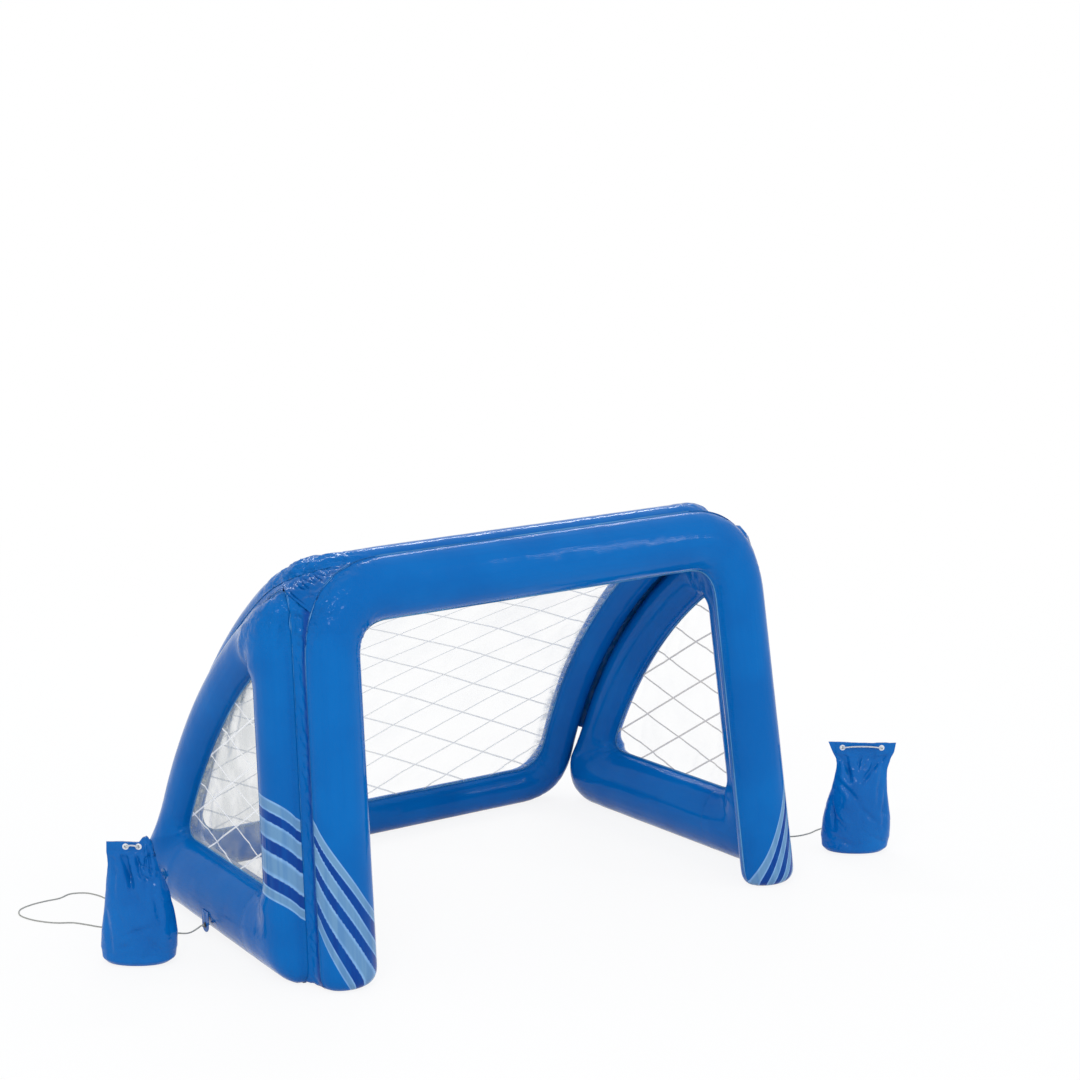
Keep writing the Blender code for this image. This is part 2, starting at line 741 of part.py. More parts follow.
def flat_of(half):
    """How far out the flat side of a chamber's many-sided section lies."""
    return half * math.cos(math.pi / TUBE_SIDES)


def valve_frames():
    """Where each chamber's valve sits: Z straight out from one flat side of its section."""
    flat = flat_of(SIDE_BOTTOM_BULGE)
    middle = SIDE_BOTTOM_TUBE / 2 - FLOOR_SINK
    frames = {}
    for name, side in (("left_valve", -1), ("right_valve", 1)):
        spot = Vector((side * (SIDE_X - narrowing(SIDE_VALVE_Y, middle) + flat), SIDE_VALVE_Y, middle))
        frames[name] = facing(spot, sideways(side), Vector((0, 1, 0)))
    spot = back_place(Vector((BACK_VALVE_X, 0)), flat_of(BACK_HALF_DEPTH))
    frames["back_valve"] = facing(spot, ARC.point(0, 1) - ARC.point(0), Vector((1, 0, 0)))

    ends = []
    for k in (ARCH_VALVE_FLAT, ARCH_VALVE_FLAT + 1):
        angle = 2 * math.pi * k / TUBE_SIDES
        ends.append(Vector((ARCH_HALF * math.cos(angle), ARCH_HALF_DEPTH * math.sin(angle))))
    middle = (ends[0] + ends[1]) / 2
    edge = ends[1] - ends[0]
    spot = arch_place(Vector((ARCH_VALVE_X, ARCH_LENGTH - ARCH_HALF + middle.x)), middle.y)
    frames["arch_valve"] = facing(spot, ARCH_UP * edge.y - ARCH_BACK * edge.x, Vector((1, 0, 0)))
    return frames


def tab_frame(side):
    """The tether ring's frame: Z points outward along X, at the tab's hole."""
    bulge = flat_of(SIDE_BOTTOM_BULGE)
    x = SIDE_X - narrowing(TAB_Y, TAB_FLOOR_CLEARANCE + TAB_WIDTH) + bulge + GAP + TAB_THICKNESS / 2
    spot = Vector((side * x, TAB_Y, TAB_FLOOR_CLEARANCE + TAB_WIDTH / 2))
    out = sideways(side)
    return facing(spot, Vector((out.x, out.y, 0)), Vector((0, 1, 0)))


def tether_tab(name, side, finish, ring_finish):
    """A tongue welded to the bottom tube, with a ring in its rounded end."""
    frame = tab_frame(side)
    up = frame.inverted().to_3x3() @ Vector((0, 0, 1))
    half = TAB_WIDTH / 2
    points = []
    for k in range(9):
        angle = math.pi * k / 8
        points.append(Vector((half * math.cos(angle), -half * math.sin(angle))))
    length = TAB_LENGTH - half
    points += [Vector((-half, length)), Vector((half, length))]
    if up.y < 0:
        points = [Vector((p.x, -p.y)) for p in points]
    bm = prism(points, -TAB_THICKNESS / 2, TAB_THICKNESS / 2)
    tab = placed(name, bm, frame, finish)
    drill = bmesh.new()
    bore = RING_HOLE + EYELET_WALL + GAP
    turned(drill, [(0.0, -TAB_WIDTH), (bore, -TAB_WIDTH), (bore, TAB_WIDTH), (0.0, TAB_WIDTH)])
    boolean(tab, placed(name + "_drill", drill, frame, finish), "DIFFERENCE")
    eyelet = bmesh.new()
    turned(eyelet, eyelet_profile(RING_HOLE, TAB_THICKNESS / 2), EYELET_SIDES)
    placed(name.replace("_tab", "_ring"), eyelet, frame, ring_finish)


def knot_offset():
    """From the middle of the tab's ring to the middle of the knot on either side of it."""
    seat = math.sqrt((KNOT + GAP) ** 2 - RING_HOLE ** 2)
    return TAB_THICKNESS / 2 + EYELET_LIP + GAP + seat


def tether_knot(name, side, finish):
    """The tether's end: a knot on each face of the ring, with the cord between them."""
    frame = tab_frame(side)
    out = knot_offset()
    bm = bmesh.new()
    profile = [(0.0, -out - KNOT)]
    for k in range(1, 6):
        angle = math.pi * k / 6
        profile.append((KNOT * math.sin(angle), -out - KNOT * math.cos(angle)))
    profile += [(CORD / 2, -out + KNOT * 0.94), (CORD / 2, out - KNOT * 0.94)]
    for k in range(1, 6):
        angle = math.pi * k / 6
        profile.append((KNOT * math.sin(angle), out - KNOT * math.cos(angle)))
    profile.append((0.0, out + KNOT))
    turned(bm, profile, 12)
    return placed(name, bm, frame, finish)


def oval(width, depth, squareness, steps=24):
    """A rounded rectangle as a superellipse."""
    made = []
    for k in range(steps):
        angle = 2 * math.pi * k / steps
        c, s = math.cos(angle), math.sin(angle)
        x = math.copysign(abs(c) ** (2 / squareness), c) * width
        y = math.copysign(abs(s) ** (2 / squareness), s) * depth
        made.append((x, y))
    return made


def bag_sections(mouth_width):
    """(height, half width, half depth, squareness) from the sole to the mouth."""
    flat = BAG_FLOOR_FLAT / BAG_HEIGHT
    rows = [
        (0.0, 0.78, 0.70, 2.6), (0.015 + flat, 0.92, 0.88, 2.6), (0.06, 1.0, 1.0, 2.5), (0.20, 1.0, 1.0, 2.4),
        (0.45, 0.96, 0.88, 2.3), (0.65, 0.90, 0.70, 2.2),
    ]
    sections = [(BAG_HEIGHT * h, BAG_HALF_WIDTH * w, BAG_HALF_DEPTH * d, n) for h, w, d, n in rows]
    sections += [
        (BAG_HEIGHT * 0.80, BAG_NECK_WIDTH, BAG_NECK_DEPTH, 2.1),
        (BAG_HEIGHT * 0.89, (BAG_NECK_WIDTH + mouth_width) / 2, BAG_NECK_DEPTH * 0.4, 2.1),
        (BAG_HEIGHT - 2 * BAG_EYELET_DROP, mouth_width * 0.97, BAG_COLLAR_DEPTH, 3.0),
        (BAG_HEIGHT, mouth_width, BAG_COLLAR_DEPTH, 3.0),
    ]
    return sections


def bag(name, frame, mouth_width, mouth_shift, finish):
    """The filled bag. Its mouth sits to one side of its sole."""
    bm = bmesh.new()
    rows = []
    for height, width, depth, squareness in bag_sections(mouth_width):
        aside = mouth_shift * min(1.0, height / (BAG_HEIGHT - 2 * BAG_EYELET_DROP)) ** 2
        rows.append([bm.verts.new((x + aside, y, height)) for x, y in oval(width, depth, squareness)])
    for low, high in zip(rows, rows[1:]):
        join_rings(bm, low, high)
    bm.faces.new(rows[0])
    bm.faces.new(rows[-1])
    return placed(name, bm, frame, finish)


def swing_about_tab(name, side, pieces):
    """Hangs a bag's pieces on an empty in the outer tether knot, which they swing round."""
    pivot = bpy.data.objects.new(name, None)
    pivot.location = tab_frame(side) @ Vector((0, 0, knot_offset()))
    bpy.context.collection.objects.link(pivot)
    for piece in pieces:
        piece.parent = pivot
        piece.matrix_parent_inverse = Matrix.Translation(pivot.location).inverted()


def bag_eyelets(name, made, frame, spacing, finish):
    """Two rings through the flat collar, side by side under its edge."""
    height = BAG_HEIGHT - BAG_EYELET_DROP
    rings = []
    for number, across in ((1, -spacing / 2), (2, spacing / 2)):
        place = frame @ Matrix.Translation((across, 0, height)) @ Matrix.Rotation(math.pi / 2, 4, "X")
        drill = bmesh.new()
        bore = EYELET_HOLE + EYELET_WALL + GAP
        turned(drill, [(0.0, -0.02), (bore, -0.02), (bore, 0.02), (0.0, 0.02)])
        boolean(made, placed(f"{name}_drill_{number}", drill, place, finish), "DIFFERENCE")
        eyelet = bmesh.new()
        turned(eyelet, eyelet_profile(EYELET_HOLE, BAG_COLLAR_DEPTH), EYELET_SIDES)
        rings.append(placed(f"{name}_{number}", eyelet, place, finish))
    return rings


def cord(name, points, finish):
    """A round cord through a list of points, as a curve with filled ends."""
    data = bpy.data.curves.new(name, "CURVE")
    data.dimensions = "3D"
    data.bevel_depth = CORD / 2
    data.bevel_resolution = 2
    data.use_fill_caps = True
    spline = data.splines.new("POLY")
    spline.points.add(len(points) - 1)
    for spot, point in zip(points, spline.points):
        point.co = (*spot, 1.0)
    made = bpy.data.objects.new(name, data)
    made.data.materials.append(finish)
    bpy.context.collection.objects.link(made)
    return made


def smooth_route(points, step):
    """Even points along a smooth curve through a few hand-placed ones."""
    spots = [Vector(p) for p in points]
    ends = [spots[0] * 2 - spots[1]] + spots + [spots[-1] * 2 - spots[-2]]
    fine = []
    for a, b, c, d in zip(ends, ends[1:], ends[2:], ends[3:]):
        for k in range(24):
            t = k / 24
            fine.append(
                (b * 2 + (c - a) * t + (a * 2 - b * 5 + c * 4 - d) * t ** 2
                 + (b * 3 - a - c * 3 + d) * t ** 3) / 2
            )
    fine.append(spots[-1])
    total = sum((b - a).length for a, b in zip(fine, fine[1:]))
    count = max(2, round(total / step))
    wanted = [total * k / count for k in range(count + 1)]
    made = []
    walked = 0.0
    for a, b in zip(fine, fine[1:]):
        length = (b - a).length
        while len(made) < len(wanted) and wanted[len(made)] <= walked + length:
            made.append(a.lerp(b, (wanted[len(made)] - walked) / max(length, 1e-9)))
        walked += length
    if len(made) < len(wanted):
        made.append(fine[-1])
    return made


def bag_frame(place, turn):
    return Matrix.Translation((*place, 0.0)) @ Matrix.Rotation(turn, 4, "Z")


def knot_spot():
    """The drawstring's knot in a bag's frame, close behind the collar."""
    behind = BAG_COLLAR_DEPTH + 0.0015 + KNOT * 1.6
    return Vector((0, behind, BAG_HEIGHT - BAG_EYELET_DROP))


def drawstring(name, frame, spacing, finish):
    """The cord through a bag's two eyelets, with its ends in the knot behind the collar."""
    hole = spacing / 2 - (EYELET_HOLE - CORD / 2 - 2 * GAP)
    height = BAG_HEIGHT - BAG_EYELET_DROP
    knot = knot_spot()
    lip = BAG_COLLAR_DEPTH + GAP + EYELET_LIP
    rise = Vector((0, 0, 0.001))
    half_route = [
        Vector((KNOT + GAP, knot.y, height)), Vector((hole * 0.6, knot.y, height)),
        Vector((hole - CORD, lip + CORD, height)), Vector((hole, lip + CORD / 4, height)),
        Vector((hole, 0, height)), Vector((hole, -lip - CORD / 4, height)),
        Vector((hole - CORD, -lip - CORD, height)) + rise, Vector((hole * 0.5, -lip - CORD, height)) + rise * 3,
    ]
    left = [Vector((-p.x, p.y, p.z)) for p in half_route]
    middle = Vector((0, -lip - CORD, height)) + rise * 3.5
    return cord(name, [frame @ p for p in smooth_route(left + [middle] + half_route[::-1], CORD)], finish)


def bag_knot(name, frame, finish):
    bm = bmesh.new()
    bmesh.ops.create_uvsphere(bm, u_segments=12, v_segments=8, radius=KNOT)
    bmesh.ops.translate(bm, verts=bm.verts, vec=knot_spot())
    return placed(name, bm, frame, finish)


def lying(x, y, raised=0.0):
    """A place on the floor, or a share of a cord above it."""
    return Vector((x, y, CORD / 2 + GAP + raised * CORD))


def tether(name, side, frame, floor_points, finish):
    """The free cord from the ring's outer knot along the floor to the bag's knot."""
    ring_frame = tab_frame(side)
    out = knot_offset()
    start = ring_frame @ Vector((0, 0, out + KNOT + GAP))
    leaving = ring_frame @ Vector((0, 0, out + KNOT + CORD * 2))
    knot = frame @ knot_spot()
    behind = (frame.to_3x3() @ Vector((0, 1, 0))).normalized()
    down = Vector((0, 0, 1))
    end = knot + behind * (KNOT + GAP)
    route = [leaving, leaving + Vector((side * 0.004, 0.006, -0.012))]
    route += [lying(*point) for point in floor_points]
    foot = knot + behind * (BAG_HALF_DEPTH + 0.012)
    route += [
        Vector((foot.x, foot.y, 0.03)), foot - down * 0.10, end + behind * 0.022 - down * 0.015,
        end + behind * 0.006, end,
    ]
    laid = [Vector((p.x, p.y, max(p.z, CORD / 2 + GAP))) for p in smooth_route(route, CORD * 5)]
    return cord(name, [start] + laid, finish)


def stand_in_the_middle():
    """Moves everything so that the origin is on the floor, under the middle of the object's box."""
    bpy.context.view_layer.update()
    low = [math.inf, math.inf]
    high = [-math.inf, -math.inf]
    for item in bpy.data.objects:
        if item.type == "EMPTY" or item.hide_render or item.name.endswith("_tether"):
            continue
        for corner in item.bound_box:
            spot = item.matrix_world @ Vector(corner)
            for k in range(2):
                low[k] = min(low[k], spot[k])
                high[k] = max(high[k], spot[k])
    shift = Vector((-(low[0] + high[0]) / 2, -(low[1] + high[1]) / 2, 0))
    for item in bpy.data.objects:
        if item.parent is None:
            item.location += shift


def build():
    clear_scene()
    skin = material("blue_vinyl", SKIN, 0.22)
    film = material("printed_film", FILM_COLOUR, 0.18)
    fitting = material("valve_vinyl", VALVE_COLOUR, 0.35)
    rope = material("cord", CORD_COLOUR, 0.80)
    eyelet = material("white_eyelet", EYELET_COLOUR, 0.40)
    dark_ring = material("dark_ring", RING_COLOUR, 0.40)

    arch = front_arch(skin)
    back = back_frame(skin)
    left = side_frame("left_side_frame", -1, skin)
    right = side_frame("right_side_frame", 1, skin)
    back_net(film)
    side_net("left_net", -1, film)
    side_net("right_net", 1, film)
    front_weld("left_front_weld", -1, skin)
    front_weld("right_front_weld", 1, skin)
    rear_weld("left_rear_weld", -1, skin)
    rear_weld("right_rear_weld", 1, skin)
    top_weld(skin)

    chambers = {"left_valve": left, "right_valve": right, "back_valve": back, "arch_valve": arch}
    for name, frame in valve_frames().items():
        valve(name, chambers[name], frame, fitting)

    bags = (
        ("left", -1, LEFT_BAG, LEFT_BAG_TURN, LEFT_MOUTH_WIDTH, LEFT_MOUTH_SHIFT, LEFT_EYELET_SPACING),
        ("right", 1, RIGHT_BAG, RIGHT_BAG_TURN, RIGHT_MOUTH_WIDTH, RIGHT_MOUTH_SHIFT, RIGHT_EYELET_SPACING),
    )
    for (word, side, place, turn, mouth, shift, spacing), route in zip(bags, (LEFT_TETHER, RIGHT_TETHER)):
        base = bag_frame(place, turn)
        frame = base @ Matrix.Translation((shift, 0, 0))
        tether_tab(word + "_tether_tab", side, skin, dark_ring)
        tether_knot(word + "_tether_knot", side, rope)
        pieces = [bag(word + "_bag", base, mouth, shift, skin)]
        pieces += bag_eyelets(word + "_bag_eyelet", pieces[0], frame, spacing, eyelet)
        pieces.append(drawstring(word + "_drawstring", frame, spacing, rope))
        pieces.append(bag_knot(word + "_bag_knot", frame, rope))
        pieces.append(tether(word + "_tether", side, frame, route, rope))
        swing_about_tab(word + "_bag_swing", side, pieces)
    stand_in_the_middle()


build()
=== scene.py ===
import json
import math

import bmesh
import bpy
from mathutils import Matrix, Vector, noise

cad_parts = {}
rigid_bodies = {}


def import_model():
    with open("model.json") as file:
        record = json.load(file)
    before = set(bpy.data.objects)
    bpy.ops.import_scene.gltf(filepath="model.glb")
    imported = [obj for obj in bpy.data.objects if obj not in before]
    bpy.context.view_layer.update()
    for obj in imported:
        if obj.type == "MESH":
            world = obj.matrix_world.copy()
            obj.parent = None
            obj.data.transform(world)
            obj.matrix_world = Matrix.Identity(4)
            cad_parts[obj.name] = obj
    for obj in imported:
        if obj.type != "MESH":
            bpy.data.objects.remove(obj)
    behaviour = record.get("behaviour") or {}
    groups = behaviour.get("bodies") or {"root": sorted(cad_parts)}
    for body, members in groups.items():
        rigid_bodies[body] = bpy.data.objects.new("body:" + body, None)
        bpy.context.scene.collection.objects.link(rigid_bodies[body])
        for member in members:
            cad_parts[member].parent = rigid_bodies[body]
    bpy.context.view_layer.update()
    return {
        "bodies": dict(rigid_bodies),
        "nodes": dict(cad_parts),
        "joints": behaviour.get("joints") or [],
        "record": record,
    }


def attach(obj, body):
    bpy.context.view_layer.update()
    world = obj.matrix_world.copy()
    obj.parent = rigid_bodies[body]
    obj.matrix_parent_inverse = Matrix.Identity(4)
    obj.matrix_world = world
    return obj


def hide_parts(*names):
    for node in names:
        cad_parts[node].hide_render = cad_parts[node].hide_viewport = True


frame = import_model()

# Camera at the photograph's angle
PICTURE_PX = 1080.0
SENSOR_MM = 36.0
CAMERA = Vector((-3.0182, -4.6204, 1.9402))
YAW = math.radians(34.78)
PITCH = math.radians(12.05)
FOCAL_PX = 2623.5

# Sizes of the part that its pieces repeat, in metres and radians
WIDTH = 1.335
FRAME_DEPTH = 0.79
ARCH_LENGTH = 0.836
LEAN = math.radians(8.0)
SPLAY = math.radians(1.95)
TOE_IN = math.radians(3.3)
GAP = 0.0003
SEAM_CLEARANCE = 0.0015
FLOOR_SINK = 0.004
ARCH_TUBE = 0.125
ARCH_PLUMPNESS = 0.80
ARCH_INNER_CUT = 0.075
ARCH_OUTER_CUT = 0.19
FOOT_ROUNDING = 0.045
FOOT_BLUNTNESS = 3.4
SIDE_FRONT_TUBE = 0.130
SIDE_BOTTOM_TUBE = 0.150
SIDE_REAR_TUBE = 0.100
SIDE_PLUMPNESS = 0.80
SIDE_THICKEST = 0.122
SIDE_INNER_CUT = 0.050
SIDE_FRONT_CUT = 0.055
SIDE_REAR_CUT = 0.110
SIDE_TOP_CUT = 0.060
BACK_TUBE = 0.088
BACK_PLUMPNESS = 0.88
BACK_INNER_CUT = 0.080
BACK_OUTER_CUT = 0.150
BACK_BULGE = 0.098
FRONT_SEAM_ANGLE = math.radians(57.0)
REAR_SEAM_ANGLE = math.radians(60.0)
TOP_SEAM_ANGLE = math.radians(13.0)
NET_LINE = 0.0040
NET_SPACING = 0.084
NET_ANGLE = math.radians(24.0)
SIDE_VALVE_Y = 0.620
ARCH_VALVE_X = 0.270
ARCH_VALVE_FLAT = 5
BACK_VALVE_X = 0.300
TAB_Y = 0.400
TAB_WIDTH = 0.030
TAB_THICKNESS = 0.0016
TAB_FLOOR_CLEARANCE = 0.012
RING_HOLE = 0.0026
EYELET_LIP = 0.0014
EYELET_HOLE = 0.0032
CORD = 0.0032
KNOT = 0.0038
BAG_HEIGHT = 0.256
BAG_HALF_DEPTH = 0.050
BAG_COLLAR_DEPTH = 0.0035
BAG_EYELET_DROP = 0.013
TUBE_SIDES = 14

# Where film is pressed flat for a fitting, as (flat radius, radius of the slope, level), and the holes
# in it, as (radius, how deep the cut goes)
VALVE_SEAT = (0.0145, 0.030, -0.0010)
VALVE_HOLE = (0.0105, 0.008)
TAB_SEAT = (0.020, 0.034, -0.0002)
TAB_SEAT_SHIFT = 0.030
EYELET_CUT = (0.0047, 0.02)
TETHER_STEP = 0.0345
ROUTE_STEPS = 24
KNOT_STEPS = 90
KNOT_SIDES = 12
TIGHT_KNOT = 0.9
WEB_THICKNESS = 0.0009
WEB_STAND = 0.0007
FOOT_STEPS = 14
FOOT_WEB_SHARES = (0.3, 0.5, 0.68, 0.8)
FLOOR_HALF = 14.0

# Where the part's source puts the origin: the middle of the floor under it
SHIFT = Vector((-0.01001, -0.39907, 0.0))

LEFT_TETHER = (
    (-0.686, 0.455), (-0.738, 0.525), (-0.795, 0.572), (-0.829, 0.626), (-0.874, 0.660), (-0.905, 0.719),
    (-0.896, 0.764), (-0.846, 0.786), (-0.800, 0.784), (-0.757, 0.798), (-0.724, 0.773), (-0.712, 0.722),
    (-0.710, 0.661), (-0.718, 0.600, 0.25), (-0.737, 0.524, 1.1),
)
RIGHT_TETHER = (
    (0.692, 0.451), (0.709, 0.517), (0.734, 0.553), (0.756, 0.516), (0.742, 0.452), (0.721, 0.388),
    (0.715, 0.314), (0.731, 0.244), (0.774, 0.205), (0.821, 0.199), (0.863, 0.209), (0.901, 0.200),
)

scene = bpy.context.scene
scene.view_settings.view_transform = "Standard"
data = bpy.data.cameras.new("camera")
data.sensor_width = SENSOR_MM
data.lens = SENSOR_MM * FOCAL_PX / PICTURE_PX
camera = bpy.data.objects.new("camera", data)
camera.location = CAMERA
camera.rotation_euler = (math.pi / 2 - PITCH, 0.0, -YAW)
scene.collection.objects.link(camera)
scene.camera = camera


def link(obj):
    scene.collection.objects.link(obj)
    return obj


def piece(obj, body, slot, *nodes):
    """Rides a piece on a body, in place of its CAD nodes; its slot is not used."""
    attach(obj, body)
    if nodes:
        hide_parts(*nodes)
    return obj


# Places that follow from the sizes, as in the part's source
def reach(half_width, half_thickness, angle):
    return math.hypot(half_width * math.cos(angle), half_thickness * math.sin(angle))


ARCH_HALF = ARCH_TUBE / 2
ARCH_HALF_DEPTH = ARCH_HALF * ARCH_PLUMPNESS
SIDE_HALF = SIDE_FRONT_TUBE / 2
SIDE_BOTTOM_BULGE = min(SIDE_BOTTOM_TUBE / 2 * SIDE_PLUMPNESS, SIDE_THICKEST / 2)
SIDE_X = WIDTH / 2 - SIDE_THICKEST / 2
FRONT_SEAM_STEP = (
    reach(ARCH_HALF, ARCH_HALF_DEPTH, FRONT_SEAM_ANGLE)
    + reach(SIDE_THICKEST / 2, SIDE_HALF, FRONT_SEAM_ANGLE)
    + SEAM_CLEARANCE
)
SIDE_BEHIND_LEG = FRONT_SEAM_STEP * math.sin(FRONT_SEAM_ANGLE)
FOOT_X = SIDE_X - FRONT_SEAM_STEP * math.cos(FRONT_SEAM_ANGLE) - SIDE_BEHIND_LEG * math.tan(TOE_IN)
BACK_HALF = BACK_TUBE / 2
BACK_HALF_DEPTH = BACK_HALF * BACK_PLUMPNESS
REAR_SEAM_STEP = (
    reach(SIDE_THICKEST / 2, SIDE_BOTTOM_TUBE / 2, REAR_SEAM_ANGLE)
    + reach(BACK_HALF, BACK_HALF_DEPTH, REAR_SEAM_ANGLE)
    + SEAM_CLEARANCE
)
BACK_BEHIND_SIDE = REAR_SEAM_STEP * math.sin(REAR_SEAM_ANGLE)
BACK_X = SIDE_X - REAR_SEAM_STEP * math.cos(REAR_SEAM_ANGLE)
BACK_OFFSET = BACK_BEHIND_SIDE - SIDE_BOTTOM_TUBE / 2
ARCH_UP = Vector((0, math.sin(LEAN), math.cos(LEAN)))
ARCH_BACK = Vector((0, math.cos(LEAN), -math.sin(LEAN)))
BAR_CENTRE = ARCH_UP * (ARCH_LENGTH - ARCH_HALF)


def narrowing(behind, height):
    return height * math.tan(SPLAY) + behind * math.tan(TOE_IN)


def sideways(side):
    return Vector((side, math.tan(TOE_IN), math.tan(SPLAY)))


class BackArc:
    """The arc in the YZ plane that the back frame's middle surface follows."""

    def __init__(self):
        top_slope = math.radians(36.0)
        bottom_slope = math.radians(67.0)
        for _ in range(6):
            step = (
                reach(ARCH_HALF_DEPTH, ARCH_HALF, TOP_SEAM_ANGLE + LEAN)
                + reach(BACK_HALF, BACK_HALF_DEPTH, TOP_SEAM_ANGLE + top_slope)
                + SEAM_CLEARANCE
            )
            away = Vector((0, math.cos(TOP_SEAM_ANGLE), math.sin(TOP_SEAM_ANGLE)))
            self.top = BAR_CENTRE + away * step
            rest = reach(BACK_HALF_DEPTH, BACK_HALF, bottom_slope) - FLOOR_SINK
            self.bottom = Vector((0, FRAME_DEPTH, rest))
            chord = self.bottom - self.top
            half = chord.length / 2
            self.radius = half * half / (2 * BACK_BULGE) + BACK_BULGE / 2
            outward = Vector((0, -chord.z, chord.y)).normalized()
            self.centre = (self.top + self.bottom) / 2 + outward * (BACK_BULGE - self.radius)
            tilt = math.atan2(-chord.z, chord.y)
            swing = math.asin(half / self.radius)
            top_slope = tilt - swing
            bottom_slope = tilt + swing
        self.length = 2 * swing * self.radius
        self.bottom_angle = math.pi / 2 - bottom_slope

    def point(self, along, outward=0.0):
        angle = self.bottom_angle + along / self.radius
        return self.centre + Vector((0, math.cos(angle), math.sin(angle))) * (self.radius + outward)

    def angle_at(self, y, z):
        return math.atan2(z - self.centre.z, y - self.centre.y)

    def height_crossing(self, radius, z):
        return self.centre.y + math.sqrt(radius ** 2 - (z - self.centre.z) ** 2)

    def front_crossing(self, radius, start):
        offset = Vector((0, start - self.centre.y, -self.centre.z))
        along = offset.dot(ARCH_UP)
        t = -along + math.sqrt(along ** 2 - offset.length_squared + radius ** 2)
        return Vector((0, start, 0)) + ARCH_UP * t


ARC = BackArc()
FINE = 0.0065
CORNER_STEPS = 36


def straight(start, end):
    return (lambda t: start.lerp(end, t)), (end - start).length


def round_arc(radius, start, end):
    first = ARC.angle_at(start.x, start.y)
    last = ARC.angle_at(end.x, end.y)

    def place(t):
        angle = first + (last - first) * t
        return Vector((ARC.centre.y + radius * math.cos(angle), ARC.centre.z + radius * math.sin(angle)))

    return place, abs(last - first) * radius


def outline(edges, corners, cuts, closed=True):
    """Fine points of an outline, and how much each of them belongs to a rounded corner."""
    points = []
    rounded = []
    count = len(corners)
    for i, (place, length) in enumerate(edges):
        after = (i + 1) % count
        first = cuts[i] / length
        last = 1 - cuts[after] / length
        steps = max(2, round((last - first) * length / FINE))
        for k in range(steps + 1):
            points.append(place(first + (last - first) * k / steps))
            rounded.append(0.0)
        if not closed and i == len(edges) - 1:
            break
        leaving = points[-1]
        following, next_length = edges[after]
        entering = following(cuts[after] / next_length)
        for k in range(1, CORNER_STEPS):
            t = k / CORNER_STEPS
            points.append(leaving.lerp(corners[after], t).lerp(corners[after].lerp(entering, t), t))
            rounded.append(math.sin(math.pi * t))
    return points, rounded


def facing_pairs(inner, outer, closed=True):
    """Inner outline points and, straight out from each, the places on the outer outline."""
    count = len(inner)
    edges = list(zip(outer, outer[1:] + outer[:1] if closed else outer[1:]))
    pairs = []
    for i, spot in enumerate(inner):
        if closed:
            along = inner[(i + 1) % count] - inner[i - 1]
        else:
            along = inner[min(i + 1, count - 1)] - inner[max(i - 1, 0)]
        out = Vector((along.y, -along.x)).normalized()
        best = None
        for a, b in edges:
            edge_x = b.x - a.x
            edge_y = b.y - a.y
            turn = out.x * edge_y - out.y * edge_x
            if abs(turn) < 1e-12:
                continue
            off_x = a.x - spot.x
            off_y = a.y - spot.y
            share = (off_x * out.y - off_y * out.x) / turn
            if share < -0.01 or share > 1.01:
                continue
            far = (off_x * edge_y - off_y * edge_x) / turn
            if far > 0 and (best is None or far < best):
                best = far
        pairs.append((spot + out * best, spot))
    return pairs


def arch_place(flat, off):
    spot = ARCH_UP * flat.y + ARCH_BACK * off
    spot.x = flat.x * (1 - narrowing(spot.y, spot.z) / FOOT_X)
    return spot


def arch_outline(half_offset, cut):
    side = FOOT_X + half_offset
    top = ARCH_LENGTH - ARCH_HALF + half_offset
    corners = [Vector(p) for p in ((side, 0), (side, top), (-side, top), (-side, 0))]
    edges = [straight(corners[i], corners[i + 1]) for i in range(3)]
    return outline(edges, corners, [FOOT_ROUNDING, cut, cut, FOOT_ROUNDING], closed=False)


def side_outline(front_offset, bottom, rear_inset, cuts):
    radius = ARC.radius - BACK_OFFSET - rear_inset
    floor_start = front_offset / math.cos(LEAN)
    front = Vector((floor_start + bottom * math.tan(LEAN), bottom))
    rear = Vector((ARC.height_crossing(radius, bottom), bottom))
    top = ARC.front_crossing(radius, floor_start)
    apex = Vector((top.y, top.z))
    corners = [front, rear, apex]
    edges = [straight(front, rear), round_arc(radius, rear, apex), straight(apex, front)]
    return outline(edges, corners, cuts)


def side_outer():
    cuts = [SIDE_FRONT_CUT, SIDE_REAR_CUT, SIDE_TOP_CUT]
    return side_outline(SIDE_BEHIND_LEG - SIDE_HALF, -FLOOR_SINK, 0.0, cuts)


def side_inner(inset=0.0):
    return side_outline(
        SIDE_BEHIND_LEG + SIDE_HALF + inset,
        SIDE_BOTTOM_TUBE - FLOOR_SINK + inset,
        SIDE_REAR_TUBE + inset,
        [SIDE_INNER_CUT] * 3,
    )


def side_place(side):
    def place(flat, off):
        return Vector((side * (SIDE_X - narrowing(flat.x, flat.y)) + off, flat.x, flat.y))

    return place


def back_place(flat, off):
    spot = ARC.point(flat.y, off)
    spot.x = flat.x * (1 - narrowing(spot.y, spot.z) / BACK_X)
    return spot


def back_outline(half_offset, cut):
    side = BACK_X + half_offset
    low = -half_offset
    high = ARC.length + half_offset
    corners = [Vector(p) for p in ((-side, low), (side, low), (side, high), (-side, high))]
    edges = [straight(corners[i], corners[(i + 1) % 4]) for i in range(4)]
    return outline(edges, corners, [cut] * 4)


def smooth(value, low, high):
    t = min(1.0, max(0.0, (value - low) / (high - low)))
    return t * t * (3 - 2 * t)


def noise_at(x, y, z):
    return noise.noise(Vector((x, y, z)))


def crest(value, sharpness):
    """A crease's share of its depth: 1 where a noise value is 0, and 0 away from it."""
    return max(0.0, 1 - sharpness * abs(value))


def above_floor(verts):
    return [Vector((v.x, v.y, max(v.z, GAP))) for v in verts]


